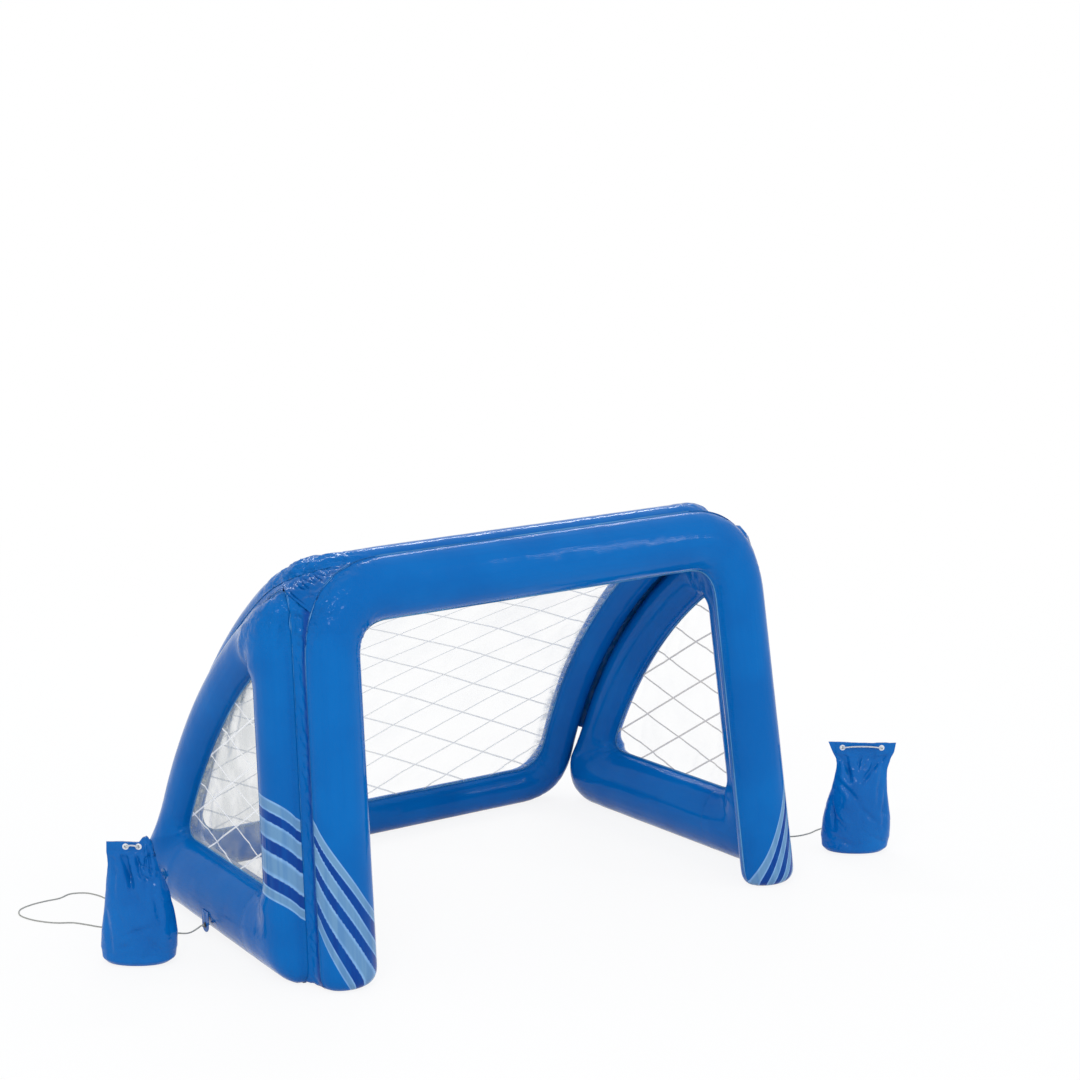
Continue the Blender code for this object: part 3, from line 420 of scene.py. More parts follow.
def grid_faces(rows, columns):
    """Four-sided faces over rows of points, with one more point than columns in each row."""
    stride = columns + 1
    return [
        (at, at + 1, at + stride + 1, at + stride)
        for row in range(rows) for at in range(row * stride, row * stride + columns)
    ]


# The top corners, where the film of three chambers is gathered
GATHER = side_place(1)(max(side_outer()[0], key=lambda p: p.y), 0.0)
GATHER_REACH = 0.24
RIGHT_CORNER_PULL = 0.016
CRUMPLE_DEPTH = 0.0065
RIGHT_TIGHTNESS = 0.35
SECTION = 60
FLANGE = 0.0036
FLANGE_HALF = 0.0004


class Chamber:
    """A lofted inflated tube between an outer and an inner outline, pinched where it is welded."""

    def __init__(self, outer, inner, thick, place, closed=True, flanges=(1.0, 1.0)):
        self.verts = []
        self.faces = []
        self.info = []
        self.place = place
        points, rounded = inner
        pairs = facing_pairs(points, outer[0], closed)
        walked = 0.0
        rings = []
        for i, (far, near) in enumerate(pairs):
            if i:
                walked += ((far + near) / 2 - (pairs[i - 1][0] + pairs[i - 1][1]) / 2).length
            rings.append(self.section(far, near, thick(far, near), walked, rounded[i], flanges))
        for first, second in zip(rings, rings[1:] + rings[:1] if closed else rings[1:]):
            self.join(first, second)
        self.first = rings[0]
        self.last = rings[-1]
        self.walked = walked

    def join(self, first, second):
        for k in range(SECTION):
            after = (k + 1) % SECTION
            self.faces.append((first[k], first[after], second[after], second[k]))

    def section(self, far, near, half, walked, rounded, flanges, scale=1.0):
        """One ring: its two tips are the welded flanges, and the rest is the inflated film."""
        middle = (far + near) / 2
        arm = (far - near) / 2
        size = arm.length
        out = arm.normalized()
        made = []
        rim = [0.0]
        for k in range(1, SECTION // 2 + 1):
            a = math.pi * (k - 1) / (SECTION // 2)
            b = math.pi * k / (SECTION // 2)
            step = math.hypot(size * (math.cos(b) - math.cos(a)), half * (math.sin(b) - math.sin(a)))
            rim.append(rim[-1] + step)
        for k in range(SECTION):
            angle = 2 * math.pi * k / SECTION
            around = rim[k] if k <= SECTION // 2 else rim[SECTION - k]
            seam = min(around, rim[-1] - around)
            sheet = 1.0 if k <= SECTION // 2 else -1.0
            x = size * math.cos(angle)
            y = half * math.sin(angle) * (1 - 0.07 * math.cos(angle) ** 2)
            if k in (0, SECTION // 2):
                share = flanges[0] if k == 0 else flanges[1]
                x += math.copysign(FLANGE * share, x)
                y = 0.0
            elif k in (1, SECTION - 1, SECTION // 2 - 1, SECTION // 2 + 1):
                x = math.copysign(size - 0.0008, x)
                y = math.copysign(FLANGE_HALF, y)
            else:
                depth = self.pucker(walked, around, seam, sheet, rounded)
                nx = math.cos(angle) * half
                ny = math.sin(angle) * size
                scale_n = math.hypot(nx, ny)
                x -= nx / scale_n * depth
                y -= ny / scale_n * depth
            flat = middle + out * (x * scale)
            made.append(self.vert(flat, y * scale, walked, around, seam, sheet, rounded))
        return made

    @staticmethod
    def pucker(walked, around, seam, sheet, rounded):
        """How far the film is drawn in by the short creases that start at its seams."""
        fade = math.exp(-seam / (0.010 + 0.020 * rounded))
        ridge = noise_at(walked / 0.021, seam / 0.09 + 3.1 * sheet, 4.0 * sheet + (around > seam))
        crease = crest(ridge, 3.2) ** 1.4
        wave = 0.5 + 0.5 * noise_at(walked / 0.06, 7.0 + sheet, seam / 0.10)
        return fade * (0.0003 + 0.0024 * rounded) * crease + 0.0005 * wave * smooth(seam, 0.0, 0.03)

    def vert(self, flat, off, walked, around, seam, sheet, rounded):
        self.verts.append(self.place(flat, off))
        self.info.append([walked, around, seam, sheet, rounded, flat.x, flat.y, off])
        return len(self.verts) - 1

    def cap(self, ring):
        middle = Vector((0, 0, 0))
        for index in ring:
            middle += self.verts[index]
        self.verts.append(middle / len(ring))
        self.info.append(list(self.info[ring[0]]))
        centre = len(self.verts) - 1
        for k in range(SECTION):
            self.faces.append((ring[k], ring[(k + 1) % SECTION], centre))


def thickness(plumpness, thickest):
    def thick(outer, inner):
        return min((outer - inner).length / 2 * plumpness, thickest / 2)

    return thick


def gather(spot):
    """How gathered the film is near the top corners, from 0 to 1."""
    near = Vector((abs(spot.x), spot.y, spot.z)) - GATHER
    if near.length > GATHER_REACH:
        return 0.0
    high = smooth(near.z, -0.16, -0.03)
    return high * (1 - smooth(math.hypot(near.x * 0.75, near.y), 0.05, 0.19))


def drawn_in(spot):
    """The right top corner's film is pulled tight towards the middle."""
    if spot.x < 0:
        return spot
    return spot - Vector((RIGHT_CORNER_PULL * gather(spot), 0, 0))


def crumple(chamber):
    """Draws the gathered film in along its own normals."""
    count = len(chamber.verts)
    normals = [Vector((0, 0, 0)) for _ in range(count)]
    weights = [gather(v) * smooth(info[2], 0.003, 0.010) for v, info in zip(chamber.verts, chamber.info)]
    for face in chamber.faces:
        if all(weights[i] == 0.0 for i in face):
            continue
        a, b, c = (chamber.verts[i] for i in face[:3])
        turn = (b - a).cross(c - a)
        for i in face:
            normals[i] += turn
    for i in range(count):
        if weights[i] == 0.0 or normals[i].length < 1e-12:
            continue
        v = chamber.verts[i]
        bend = Vector((noise_at(v.x * 9, v.y * 9, v.z * 9), noise_at(v.x * 9 + 5, v.y * 9, v.z * 9), 0)) * 0.6
        p = Vector((v.x * 26, v.y * 60, v.z * 38)) + bend * 3
        first = noise_at(p.x, p.y, p.z)
        second = noise_at(p.z * 1.9 + 4, p.x * 2.1, p.y * 1.3)
        depth = crest(first, 2.6) ** 1.3 + 0.45 * crest(second, 2.6)
        walked, _, seam = chamber.info[i][:3]
        pleat = crest(noise_at(walked / 0.011, seam / 0.05, 8.0), 2.8)
        depth = 0.75 * depth + 1.5 * pleat * math.exp(-seam / 0.024)
        tight = RIGHT_TIGHTNESS if v.x > 0 else 1.0
        chamber.verts[i] = v - normals[i].normalized() * depth * CRUMPLE_DEPTH * weights[i] * tight


def arch_chamber():
    outer = arch_outline(ARCH_HALF, ARCH_OUTER_CUT)
    inner = arch_outline(-ARCH_HALF, ARCH_INNER_CUT)
    made = Chamber(outer, inner, lambda o, i: ARCH_HALF_DEPTH, arch_place, False, (0.55, 0.8))
    depth = FOOT_ROUNDING + FLOOR_SINK
    for side, ring, walked in ((1, made.first, 0.0), (-1, made.last, made.walked)):
        far = Vector((side * (FOOT_X + ARCH_HALF), 0))
        near = Vector((side * (FOOT_X - ARCH_HALF), 0))
        last = ring
        for step in range(1, FOOT_STEPS + 1):
            t = math.sin(math.pi / 2 * step / (FOOT_STEPS + 0.5))
            drop = Vector((0, FOOT_ROUNDING - depth * t))
            share = (1 - t ** FOOT_BLUNTNESS) ** (1 / FOOT_BLUNTNESS)
            fold = 0.12 * smooth(t, 0.1, 0.8)
            reach_flange = 0.6 * (1 - smooth(t, 0.0, 0.5))
            here = walked - depth * t if side > 0 else walked + depth * t
            ring_new = made.section(
                far + drop, near + drop, ARCH_HALF_DEPTH, here, fold, (reach_flange, reach_flange), share
            )
            made.join(ring_new, last) if side > 0 else made.join(last, ring_new)
            last = ring_new
        made.cap(last[::-1] if side > 0 else last)
    return made


def side_chamber(side):
    made = Chamber(side_outer(), side_inner(), thickness(SIDE_PLUMPNESS, SIDE_THICKEST), side_place(side))
    if side < 0:
        made.faces = [face[::-1] for face in made.faces]
    return made


def back_chamber():
    outer = back_outline(BACK_HALF, BACK_OUTER_CUT)
    inner = back_outline(-BACK_HALF, BACK_INNER_CUT)
    return Chamber(outer, inner, thickness(BACK_PLUMPNESS, BACK_TUBE), back_place)


# Printed stripes. Each line is a stripe's edge, as (height at the seam, how fast it falls), from the
# top one down. LEG_LINES start at the leg's outer seam and SIDE_LINES at the side frame's front seam.
LEFT_LEG_LINES = (
    (0.3475, 1.52), (0.316, 1.462), (0.3046, 1.648), (0.2583, 1.55), (0.2357, 1.606), (0.1866, 1.725),
    (0.164, 1.916), (0.1348, 1.94),
)
RIGHT_LEG_LINES = (
    (0.3104, 2.0), (0.2796, 2.0), (0.255, 2.0), (0.221, 2.0), (0.190, 2.0), (0.154, 2.0),
    (0.124, 2.0), (0.094, 2.0),
)
SIDE_LINES = (0.3736, 0.3482, 0.3305, 0.2929, 0.269, 0.2208, 0.1963, 0.175)
SIDE_DROP = 0.052


def band_among(heights, height):
    """Where a height lies among a stack of edges: 0 at the first, 7 at the last."""
    if height >= heights[0]:
        return max(-1.0, (heights[0] - height) / (heights[0] - heights[1]))
    for i in range(7):
        if height >= heights[i + 1]:
            return i + (heights[i] - height) / (heights[i] - heights[i + 1])
    return min(8.0, 7 + (heights[7] - height) / (heights[6] - heights[7]))


def leg_band(info):
    _, around, _, sheet, _, x, up, _ = info
    lines = LEFT_LEG_LINES if x < 0 else RIGHT_LEG_LINES
    rest = 9.0 * max(0.0, around - 0.10) ** 2
    shown = 1.0 if sheet < 0 and up < 0.45 else 0.0
    return band_among([high - fall * around + rest for high, fall in lines], up), shown


def side_band(side):
    def band(info):
        _, around, _, sheet, _, y, z, _ = info
        drop = SIDE_DROP * math.exp(-around / 0.032)
        shown = 1.0 if sheet * side > 0 and y < 0.24 and z < 0.45 else 0.0
        return band_among([high - drop for high in SIDE_LINES], z), shown

    return band


# Materials
def principled(name, colour, roughness):
    mat = bpy.data.materials.new(name)
    mat.use_nodes = True
    shader = mat.node_tree.nodes["Principled BSDF"]
    shader.inputs["Base Color"].default_value = (*colour, 1.0)
    shader.inputs["Roughness"].default_value = roughness
    return mat, shader


class Graph:
    """Short calls for building a material's nodes."""

    def __init__(self, mat):
        self.nodes = mat.node_tree.nodes
        self.links = mat.node_tree.links

    def feed(self, node, **inputs):
        for key, value in inputs.items():
            socket = node.inputs[int(key[1:])] if key[1:].isdigit() else node.inputs[key.replace("_", " ")]
            if isinstance(value, bpy.types.NodeSocket):
                self.links.new(value, socket)
            else:
                socket.default_value = value
        return node

    def attribute(self, name):
        node = self.nodes.new("ShaderNodeAttribute")
        node.attribute_name = name
        return node.outputs["Fac"]

    def place(self):
        return self.nodes.new("ShaderNodeTexCoord").outputs["Object"]

    def math(self, operation, first, second=0.0, third=0.0, clamp=False):
        node = self.nodes.new("ShaderNodeMath")
        node.operation = operation
        node.use_clamp = clamp
        return self.feed(node, _0=first, _1=second, _2=third).outputs[0]

    def times(self, first, second):
        return self.math("MULTIPLY", first, second)

    def noise(self, vector, scale, detail=3.0, roughness=0.5):
        node = self.nodes.new("ShaderNodeTexNoise")
        return self.feed(node, Vector=vector, Scale=scale, Detail=detail, Roughness=roughness).outputs[0]

    def folds(self, vector, scale, detail, roughness=0.5):
        """Noise with a sharp valley along its middle level."""
        return self.math("ABSOLUTE", self.math("SUBTRACT", self.noise(vector, scale, detail, roughness), 0.5))

    def stretched(self, first, first_scale, second, second_scale):
        """A place for noise from two distances along the film, each at a scale of its own."""
        node = self.nodes.new("ShaderNodeCombineXYZ")
        self.feed(node, _0=self.times(first, first_scale), _1=self.times(second, second_scale))
        return node.outputs[0]

    def span(self, value, low, high, to_low=0.0, to_high=1.0, smooth_step=True):
        node = self.nodes.new("ShaderNodeMapRange")
        node.interpolation_type = "SMOOTHSTEP" if smooth_step else "LINEAR"
        return self.feed(node, _0=value, _1=low, _2=high, _3=to_low, _4=to_high).outputs[0]

    def mix(self, factor, first, second):
        node = self.nodes.new("ShaderNodeMix")
        node.data_type = "RGBA"
        for value, socket in ((factor, node.inputs[0]), (first, node.inputs[6]), (second, node.inputs[7])):
            if isinstance(value, bpy.types.NodeSocket):
                self.links.new(value, socket)
            elif isinstance(value, tuple):
                socket.default_value = (*value, 1.0)
            else:
                socket.default_value = value
        return node.outputs[2]

    def ramp(self, factor, stops):
        node = self.nodes.new("ShaderNodeValToRGB")
        items = node.color_ramp.elements
        items.remove(items[1])
        items[0].position = stops[0][0]
        items[0].color = (*stops[0][1], 1.0)
        for spot, colour in stops[1:]:
            items.new(spot).color = (*colour, 1.0)
        self.links.new(factor, node.inputs[0])
        return node.outputs[0]

    def bump(self, height, distance, strength=1.0, normal=None):
        node = self.nodes.new("ShaderNodeBump")
        self.feed(node, Height=height, Distance=distance, Strength=strength)
        if normal is not None:
            self.links.new(normal, node.inputs["Normal"])
        return node.outputs[0]


BLUE = (0.0010, 0.142, 0.475)
DEEP_BLUE = (0.0010, 0.122, 0.430)
NAVY = (0.003, 0.050, 0.285)
SKY = (0.150, 0.312, 0.520)
SKY_EDGE = (0.235, 0.450, 0.745)
# Light blue of the painted highlight along the welded flanges
WELD_HIGHLIGHT = (0.170, 0.450, 0.780)


# One printed stripe across, as (place, colour), with navy on both sides of it
STRIPE = (
    (-0.02, NAVY), (0.02, SKY_EDGE), (0.10, SKY_EDGE), (0.22, SKY),
    (0.78, SKY), (0.90, SKY_EDGE), (0.98, SKY_EDGE), (1.02, NAVY),
)


def striped(graph, base):
    """The printed sky-blue stripes with navy between them, over the vinyl's own colour."""
    stops = [((number * 2 + 1 + offset) / 9, colour) for number in range(4) for offset, colour in STRIPE]
    band = graph.attribute("band")
    scaled = graph.math("DIVIDE", graph.math("ADD", band, 1.0), 9.0)
    printed = graph.ramp(scaled, stops[:-1])
    above = graph.span(band, -0.04, 0.0)
    below = graph.span(band, 7.0, 7.04, 1.0, 0.0)
    inside = graph.times(graph.times(above, below), graph.attribute("printed"))
    return graph.mix(inside, base, printed)


def vinyl(
    name, colour=BLUE, deep=DEEP_BLUE, stripes=False, creases=True, wrinkle=1.0, painted_shade=False, gloss=0.11
):
    """Glossy welded vinyl film: fine grain, slow waves, creases at the seams, a duller weld line painted lighter in
    patches as a painted highlight, and optional navy painted shade next to the arch leg.
    """
    mat, shader = principled(name, colour, 0.2)
    shader.inputs["IOR"].default_value = 1.45
    shader.inputs["Specular IOR Level"].default_value = gloss
    graph = Graph(mat)
    place = graph.place()
    slow = graph.noise(place, 7.0, 3.0)
    base = graph.mix(graph.span(slow, 0.35, 0.7), colour, deep)
    if stripes:
        base = striped(graph, base)
    fine = graph.noise(place, 420.0, 2.0)
    normal = graph.bump(fine, 0.00012, 0.35)
    wave = graph.noise(place, 16.0, 2.0)
    normal = graph.bump(wave, 0.0030 * wrinkle, 0.6, normal)
    rough = graph.span(graph.noise(place, 34.0, 4.0), 0.3, 0.75, 0.10, 0.17)
    if creases:
        along = graph.attribute("along")
        seam = graph.attribute("seam")
        crumpled = graph.attribute("crumpled")
        near = graph.span(seam, 0.002, 0.030, 1.0, 0.0)
        streak = graph.noise(graph.stretched(along, 3.5, seam, 60.0), 1.0, 2.0)
        normal = graph.bump(streak, 0.0016, 0.6, normal)
        base = graph.mix(graph.span(streak, 0.40, 0.68, 0.0, 0.55), base, graph.mix(0.5, base, deep))
        pulled = graph.folds(graph.stretched(along, 95.0, seam, 16.0), 1.0, 3.0, 0.6)
        normal = graph.bump(graph.times(pulled, near), 0.0050, 0.55, normal)
        normal = graph.bump(graph.times(graph.folds(place, 38.0, 2.5), crumpled), 0.012, 0.9, normal)
        ribs = graph.math("SINE", graph.times(along, 4200.0))
        weld = graph.span(seam, 0.0034, 0.0044, 1.0, 0.0)
        normal = graph.bump(graph.times(ribs, weld), 0.00025, 0.5, normal)
        # The weld flange is painted light blue in noise patches: a painted highlight on the flange.
        flange_highlight = graph.span(graph.noise(place, 5.0, 2.0), 0.35, 0.60, 0.30, 0.95)
        base = graph.mix(graph.times(weld, flange_highlight), base, WELD_HIGHLIGHT)
        rough = graph.math("ADD", rough, graph.times(weld, 0.12))
    else:
        normal = graph.bump(graph.folds(place, 30.0, 3.0, 0.55), 0.0060 * wrinkle, 0.5, normal)
    # Navy painted shade on the web's side next to the arch leg, in the crease between the leg and the side frame.
    if painted_shade:
        base = graph.mix(graph.span(graph.attribute("across"), 0.12, 0.40, 0.85, 0.0), base, NAVY)
    graph.feed(shader, Base_Color=base, Roughness=rough, Normal=normal)
    return mat


def net_film(name, tilt, centre, print_alpha, ink_and_shade_colour, film_colour, haze_low, haze_high):
    """Clear glossy film, hazy where it is seen at a slant, with the printed white diamonds; their colour is given
    per sheet and is darkened as painted shade on the right sheet.
    """
    mat, shader = principled(name, (0.80, 0.83, 0.86), 0.16)
    shader.inputs["Specular IOR Level"].default_value = 0.5
    graph = Graph(mat)
    u = graph.math("SUBTRACT", graph.attribute("net_u"), centre[0])
    v = graph.math("SUBTRACT", graph.attribute("net_v"), centre[1])
    line = None
    for angle in (tilt - NET_ANGLE, tilt + NET_ANGLE):
        across = graph.math("MULTIPLY_ADD", u, -math.sin(angle), graph.times(v, math.cos(angle)))
        turns = graph.math("FRACT", graph.math("DIVIDE", across, NET_SPACING))
        off = graph.math("ABSOLUTE", graph.math("SUBTRACT", turns, 0.5))
        half = NET_LINE / 2 / NET_SPACING
        mark = graph.span(off, half - 0.004, half + 0.004, 1.0, 0.0)
        line = mark if line is None else graph.math("MAXIMUM", line, mark)
    place = graph.place()
    coarse = graph.noise(place, 9.0, 2.0, 0.5)
    normal = graph.bump(coarse, 0.012, 0.45)
    normal = graph.bump(graph.folds(place, 15.0, 2.0), 0.006, 0.45, normal)
    slant = graph.nodes.new("ShaderNodeLayerWeight")
    slant.inputs["Blend"].default_value = 0.32
    graph.links.new(normal, slant.inputs["Normal"])
    haze = graph.span(slant.outputs["Facing"], 0.15, 1.0, haze_low, haze_high, False)
    patches = graph.span(graph.noise(place, 11.0, 3.0, 0.55), 0.36, 0.62, 0.62, 1.25)
    haze = graph.times(haze, patches)
    rim = graph.attribute("rim")
    border = graph.span(rim, 0.012, 0.040, 1.0, 0.0)
    pleat = graph.span(graph.noise(graph.stretched(v, 60.0, rim, 22.0), 1.0, 3.0, 0.6), 0.42, 0.62)
    haze = graph.math("ADD", haze, graph.times(border, graph.math("MULTIPLY_ADD", pleat, 0.50, 0.22)))
    normal = graph.bump(graph.times(pleat, border), 0.004, 0.6, normal)
    alpha = graph.math("MAXIMUM", haze, graph.times(line, print_alpha), clamp=True)
    colour = graph.mix(line, film_colour, ink_and_shade_colour)
    rough = graph.math("MULTIPLY_ADD", line, 0.35, 0.14)
    graph.feed(shader, Base_Color=colour, Roughness=rough, Alpha=alpha, Normal=normal)
    return mat


def braid(name, colour):
    """A thin braided cord: strands that cross it on a slant, painted darker between them as painted shade, and a
    fibrous surface.
    """
    mat, shader = principled(name, colour, 0.75)
    graph = Graph(mat)
    place = graph.place()
    strand = graph.nodes.new("ShaderNodeTexWave")
    strand.bands_direction = "DIAGONAL"
    graph.feed(strand, Vector=place, Scale=260.0, Distortion=3.0, Detail=2.0)
    weave = strand.outputs["Fac"]
    fibre = graph.noise(place, 900.0, 3.0)
    # Painted shade: the colour darkens in the low bands of the weave, between the strands.
    strand_gap_shade = tuple(c * 0.62 for c in colour)
    base = graph.mix(graph.span(weave, 0.1, 0.8), strand_gap_shade, colour)
    normal = graph.bump(fibre, 0.0002, 0.6, graph.bump(weave, 0.0005, 0.8))
    graph.feed(shader, Base_Color=base, Normal=normal)
    return mat


def moulded(name, colour, roughness):
    """Moulded plastic or soft vinyl: faint grain and handling marks."""
    mat, shader = principled(name, colour, roughness)
    graph = Graph(mat)
    place = graph.place()
    marks = graph.noise(place, 90.0, 4.0)
    base = graph.mix(graph.span(marks, 0.3, 0.75), colour, tuple(c * 0.82 for c in colour))
    rough = graph.span(marks, 0.3, 0.7, roughness - 0.06, roughness + 0.10)
    normal = graph.bump(graph.noise(place, 1400.0, 2.0), 0.0001, 0.5)
    graph.feed(shader, Base_Color=base, Roughness=rough, Normal=normal)
    return mat


SKIN = vinyl("vinyl_blue")
STRIPED_SKIN = vinyl("vinyl_blue_striped", stripes=True)
WELD_SKIN = vinyl("vinyl_weld", (0.0010, 0.128, 0.440), (0.0010, 0.104, 0.380), creases=False, wrinkle=1.4)
# The front webs carry navy painted shade next to the arch leg.
FRONT_WELD_SKIN = vinyl("vinyl_weld_front", creases=False, wrinkle=1.3, painted_shade=True)
BAG_SKIN = vinyl(
    "vinyl_bag", (0.0010, 0.150, 0.500), (0.0010, 0.120, 0.430), creases=False, wrinkle=1.4, gloss=0.20
)
GREY_CORD = braid("cord_grey", (0.50, 0.50, 0.46))
WHITE_CORD = braid("cord_white", (0.78, 0.80, 0.82))
FITTING = moulded("valve_vinyl_blue", (0.004, 0.150, 0.470), 0.32)
WHITE_PLASTIC = moulded("eyelet_white", (0.80, 0.83, 0.86), 0.36)
DARK_PLASTIC = moulded("ring_dark", (0.012, 0.020, 0.045), 0.38)


# Tethers
def lying(x, y, raised=0.0):
    return Vector((x, y, CORD / 2 + GAP + raised * CORD))


def facing(spot, outward, along):
    z = outward.normalized()
    x = (along - z * along.dot(z)).normalized()
    turn = Matrix((x, z.cross(x), z)).transposed().to_4x4()
    return Matrix.Translation(spot) @ turn


def flat_of(half):
    return half * math.cos(math.pi / TUBE_SIDES)


def tab_frame(side):
    bulge = flat_of(SIDE_BOTTOM_BULGE)
    x = SIDE_X - narrowing(TAB_Y, TAB_FLOOR_CLEARANCE + TAB_WIDTH) + bulge + GAP + TAB_THICKNESS / 2
    spot = Vector((side * x, TAB_Y, TAB_FLOOR_CLEARANCE + TAB_WIDTH / 2))
    out = sideways(side)
    return facing(spot, Vector((out.x, out.y, 0)), Vector((0, 1, 0)))


def knot_offset():
    seat = math.sqrt((KNOT + GAP) ** 2 - RING_HOLE ** 2)
    return TAB_THICKNESS / 2 + EYELET_LIP + GAP + seat


def knot_spot():
    behind = BAG_COLLAR_DEPTH + 0.0015 + KNOT * 1.6
    return Vector((0, behind, BAG_HEIGHT - BAG_EYELET_DROP))


def bag_frame(place, turn):
    return Matrix.Translation((*place, 0.0)) @ Matrix.Rotation(turn, 4, "Z")


def even_points(points, count):
    """Even points along the line through some points."""
    walked = [0.0]
    for a, b in zip(points, points[1:]):
        walked.append(walked[-1] + (b - a).length)
    made = []
    k = 0
    for i in range(count + 1):
        wanted = walked[-1] * i / count
        while k < len(points) - 2 and walked[k + 1] < wanted:
            k += 1
        share = (wanted - walked[k]) / max(walked[k + 1] - walked[k], 1e-9)
        made.append(points[k].lerp(points[k + 1], min(1.0, max(0.0, share))))
    return made


def smooth_route(points, step):
    """Even points along a smooth curve through a few given ones."""
    spots = [Vector(p) for p in points]
    ends = [spots[0] * 2 - spots[1]] + spots + [spots[-1] * 2 - spots[-2]]
    fine = []
    for a, b, c, d in zip(ends, ends[1:], ends[2:], ends[3:]):
        for k in range(ROUTE_STEPS):
            t = k / ROUTE_STEPS
            fine.append(
                (b * 2 + (c - a) * t + (a * 2 - b * 5 + c * 4 - d) * t ** 2
                 + (b * 3 - a - c * 3 + d) * t ** 3) / 2
            )
    fine.append(spots[-1])
    total = sum((b - a).length for a, b in zip(fine, fine[1:]))
    return even_points(fine, max(2, round(total / step)))


def soft_curve(name, points, diameter, mat):
    """One open Bezier spline through some points, as a round cord."""
    data = bpy.data.curves.new(name, "CURVE")
    data.dimensions = "3D"
    data.resolution_u = 8
    data.bevel_depth = diameter / 2
    data.bevel_resolution = 4
    data.use_fill_caps = True
    spline = data.splines.new("BEZIER")
    spline.bezier_points.add(len(points) - 1)
    for i, (spot, point) in enumerate(zip(points, spline.bezier_points)):
        before = points[max(i - 1, 0)]
        after = points[min(i + 1, len(points) - 1)]
        reach_handle = (after - before) / 6
        here = Vector(spot) + SHIFT
        point.co = here
        point.handle_left = here - reach_handle
        point.handle_right = here + reach_handle
    data.materials.append(mat)
    return link(bpy.data.objects.new(name, data))


def tether_points(side, frame, floor_points):
    ring_frame = tab_frame(side)
    out = knot_offset()
    start = ring_frame @ Vector((0, 0, out + KNOT + GAP))
    knot = frame @ knot_spot()
    behind = (frame.to_3x3() @ Vector((0, 1, 0))).normalized()
    up = Vector((0, 0, 1))
    end = knot + behind * (KNOT + GAP)
    leaving = (ring_frame.to_3x3() @ Vector((0, 0, 1))).normalized()
    route = [start, start + leaving * 0.011 + Vector((0, 0.004, -0.012))]
    route += [lying(*point) for point in floor_points]
    foot = knot + behind * (BAG_HALF_DEPTH + 0.012)
    route += [
        Vector((foot.x, foot.y, 0.035)), Vector((foot.x, foot.y, 0.13)), end + behind * 0.040 - up * 0.045,
        end + behind * 0.020 - up * 0.008, end,
    ]
    route = smooth_route(route, TETHER_STEP)
    return [Vector((p.x, p.y, max(p.z, CORD / 2 + GAP))) for p in route]


# Each bag's word, side, place, turn, the eyelets' shift from its middle, their spacing, and its tether
BAGS = (
    ("left", -1, (-0.815, 0.360), math.radians(-36.0), -0.005, 0.026, LEFT_TETHER),
    ("right", 1, (0.835, 0.057), math.radians(-36.0), 0.012, 0.088, RIGHT_TETHER),
)


def knotted(name, spot, size, turn, mat):
    """A tight overhand knot of the cord, as a tube on a trefoil."""
    strand = size * 0.40
    scale = (size - strand) / 3.0
    bm = bmesh.new()
    centre = []
    for k in range(KNOT_STEPS):
        t = 2 * math.pi * k / KNOT_STEPS
        centre.append(Vector((
            (math.sin(t) + 2 * math.sin(2 * t)) * scale, (math.cos(t) - 2 * math.cos(2 * t)) * scale,
            -math.sin(3 * t) * scale * 1.9,
        )))
    rows = []
    for k, spot_k in enumerate(centre):
        ahead = (centre[(k + 1) % KNOT_STEPS] - centre[k - 1]).normalized()
        side_axis = ahead.cross(Vector((0, 0, 1))).normalized()
        up_axis = side_axis.cross(ahead)
        row = []
        for j in range(KNOT_SIDES):
            angle = 2 * math.pi * j / KNOT_SIDES
            row.append(bm.verts.new(spot_k + (side_axis * math.cos(angle) + up_axis * math.sin(angle)) * strand))
        rows.append(row)
    for first, second in zip(rows, rows[1:] + rows[:1]):
        for j in range(KNOT_SIDES):
            after = (j + 1) % KNOT_SIDES
            bm.faces.new((first[j], first[after], second[after], second[j]))
    bmesh.ops.transform(bm, matrix=Matrix.Translation(spot + SHIFT) @ turn, verts=bm.verts)
    bmesh.ops.recalc_face_normals(bm, faces=bm.faces)
    mesh = bpy.data.meshes.new(name)
    bm.to_mesh(mesh)
    bm.free()
    mesh.polygons.foreach_set("use_smooth", [True] * len(mesh.polygons))
    mesh.materials.append(mat)
    return link(bpy.data.objects.new(name, mesh))


for word, side, place, turn, shift, spacing, floor_points in BAGS:
    frame_here = bag_frame(place, turn) @ Matrix.Translation((shift, 0, 0))
    points = tether_points(side, frame_here, floor_points)
    tether = piece(
        soft_curve(word + "_tether_cord", points, CORD, GREY_CORD),
        word + "_weight_bag", "cord", word + "_tether",
    )
    length = sum((b - a).length for a, b in zip(points, points[1:]))
    tied = []
    outward = (tab_frame(side).to_3x3() @ Vector((0, 0, 1))).normalized()
    centre = tab_frame(side).translation
    for number, step in ((1, knot_offset()), (2, -knot_offset())):
        tied.append(knotted(f"{word}_tether_knot_{number}", centre + outward * step, KNOT * TIGHT_KNOT,
                            outward.to_track_quat("Z", "Y").to_matrix().to_4x4(), GREY_CORD))
    through = soft_curve(
        word + "_tether_through", [centre + outward * s for s in (-0.0022, -0.001, 0.001, 0.0022)], CORD, GREY_CORD
    )
    for obj in tied + [through]:
        piece(obj, "goal", "cord", word + "_tether_knot")
    piece(
        knotted(word + "_bag_knot_tied", frame_here @ knot_spot(), KNOT, Matrix.Rotation(0.7, 4, "X"), GREY_CORD),
        word + "_weight_bag", "cord", word + "_bag_knot",
    )


# Meshes
def add_mesh(name, verts, faces, mat, attributes=None):
    mesh = bpy.data.meshes.new(name)
    mesh.from_pydata([tuple(v + SHIFT) for v in verts], [], faces)
    mesh.validate()
    for key, values in (attributes or {}).items():
        layer = mesh.attributes.new(key, "FLOAT", "POINT")
        layer.data.foreach_set("value", values)
    mesh.polygons.foreach_set("use_smooth", [True] * len(mesh.polygons))
    mesh.materials.append(mat)
    return link(bpy.data.objects.new(name, mesh))


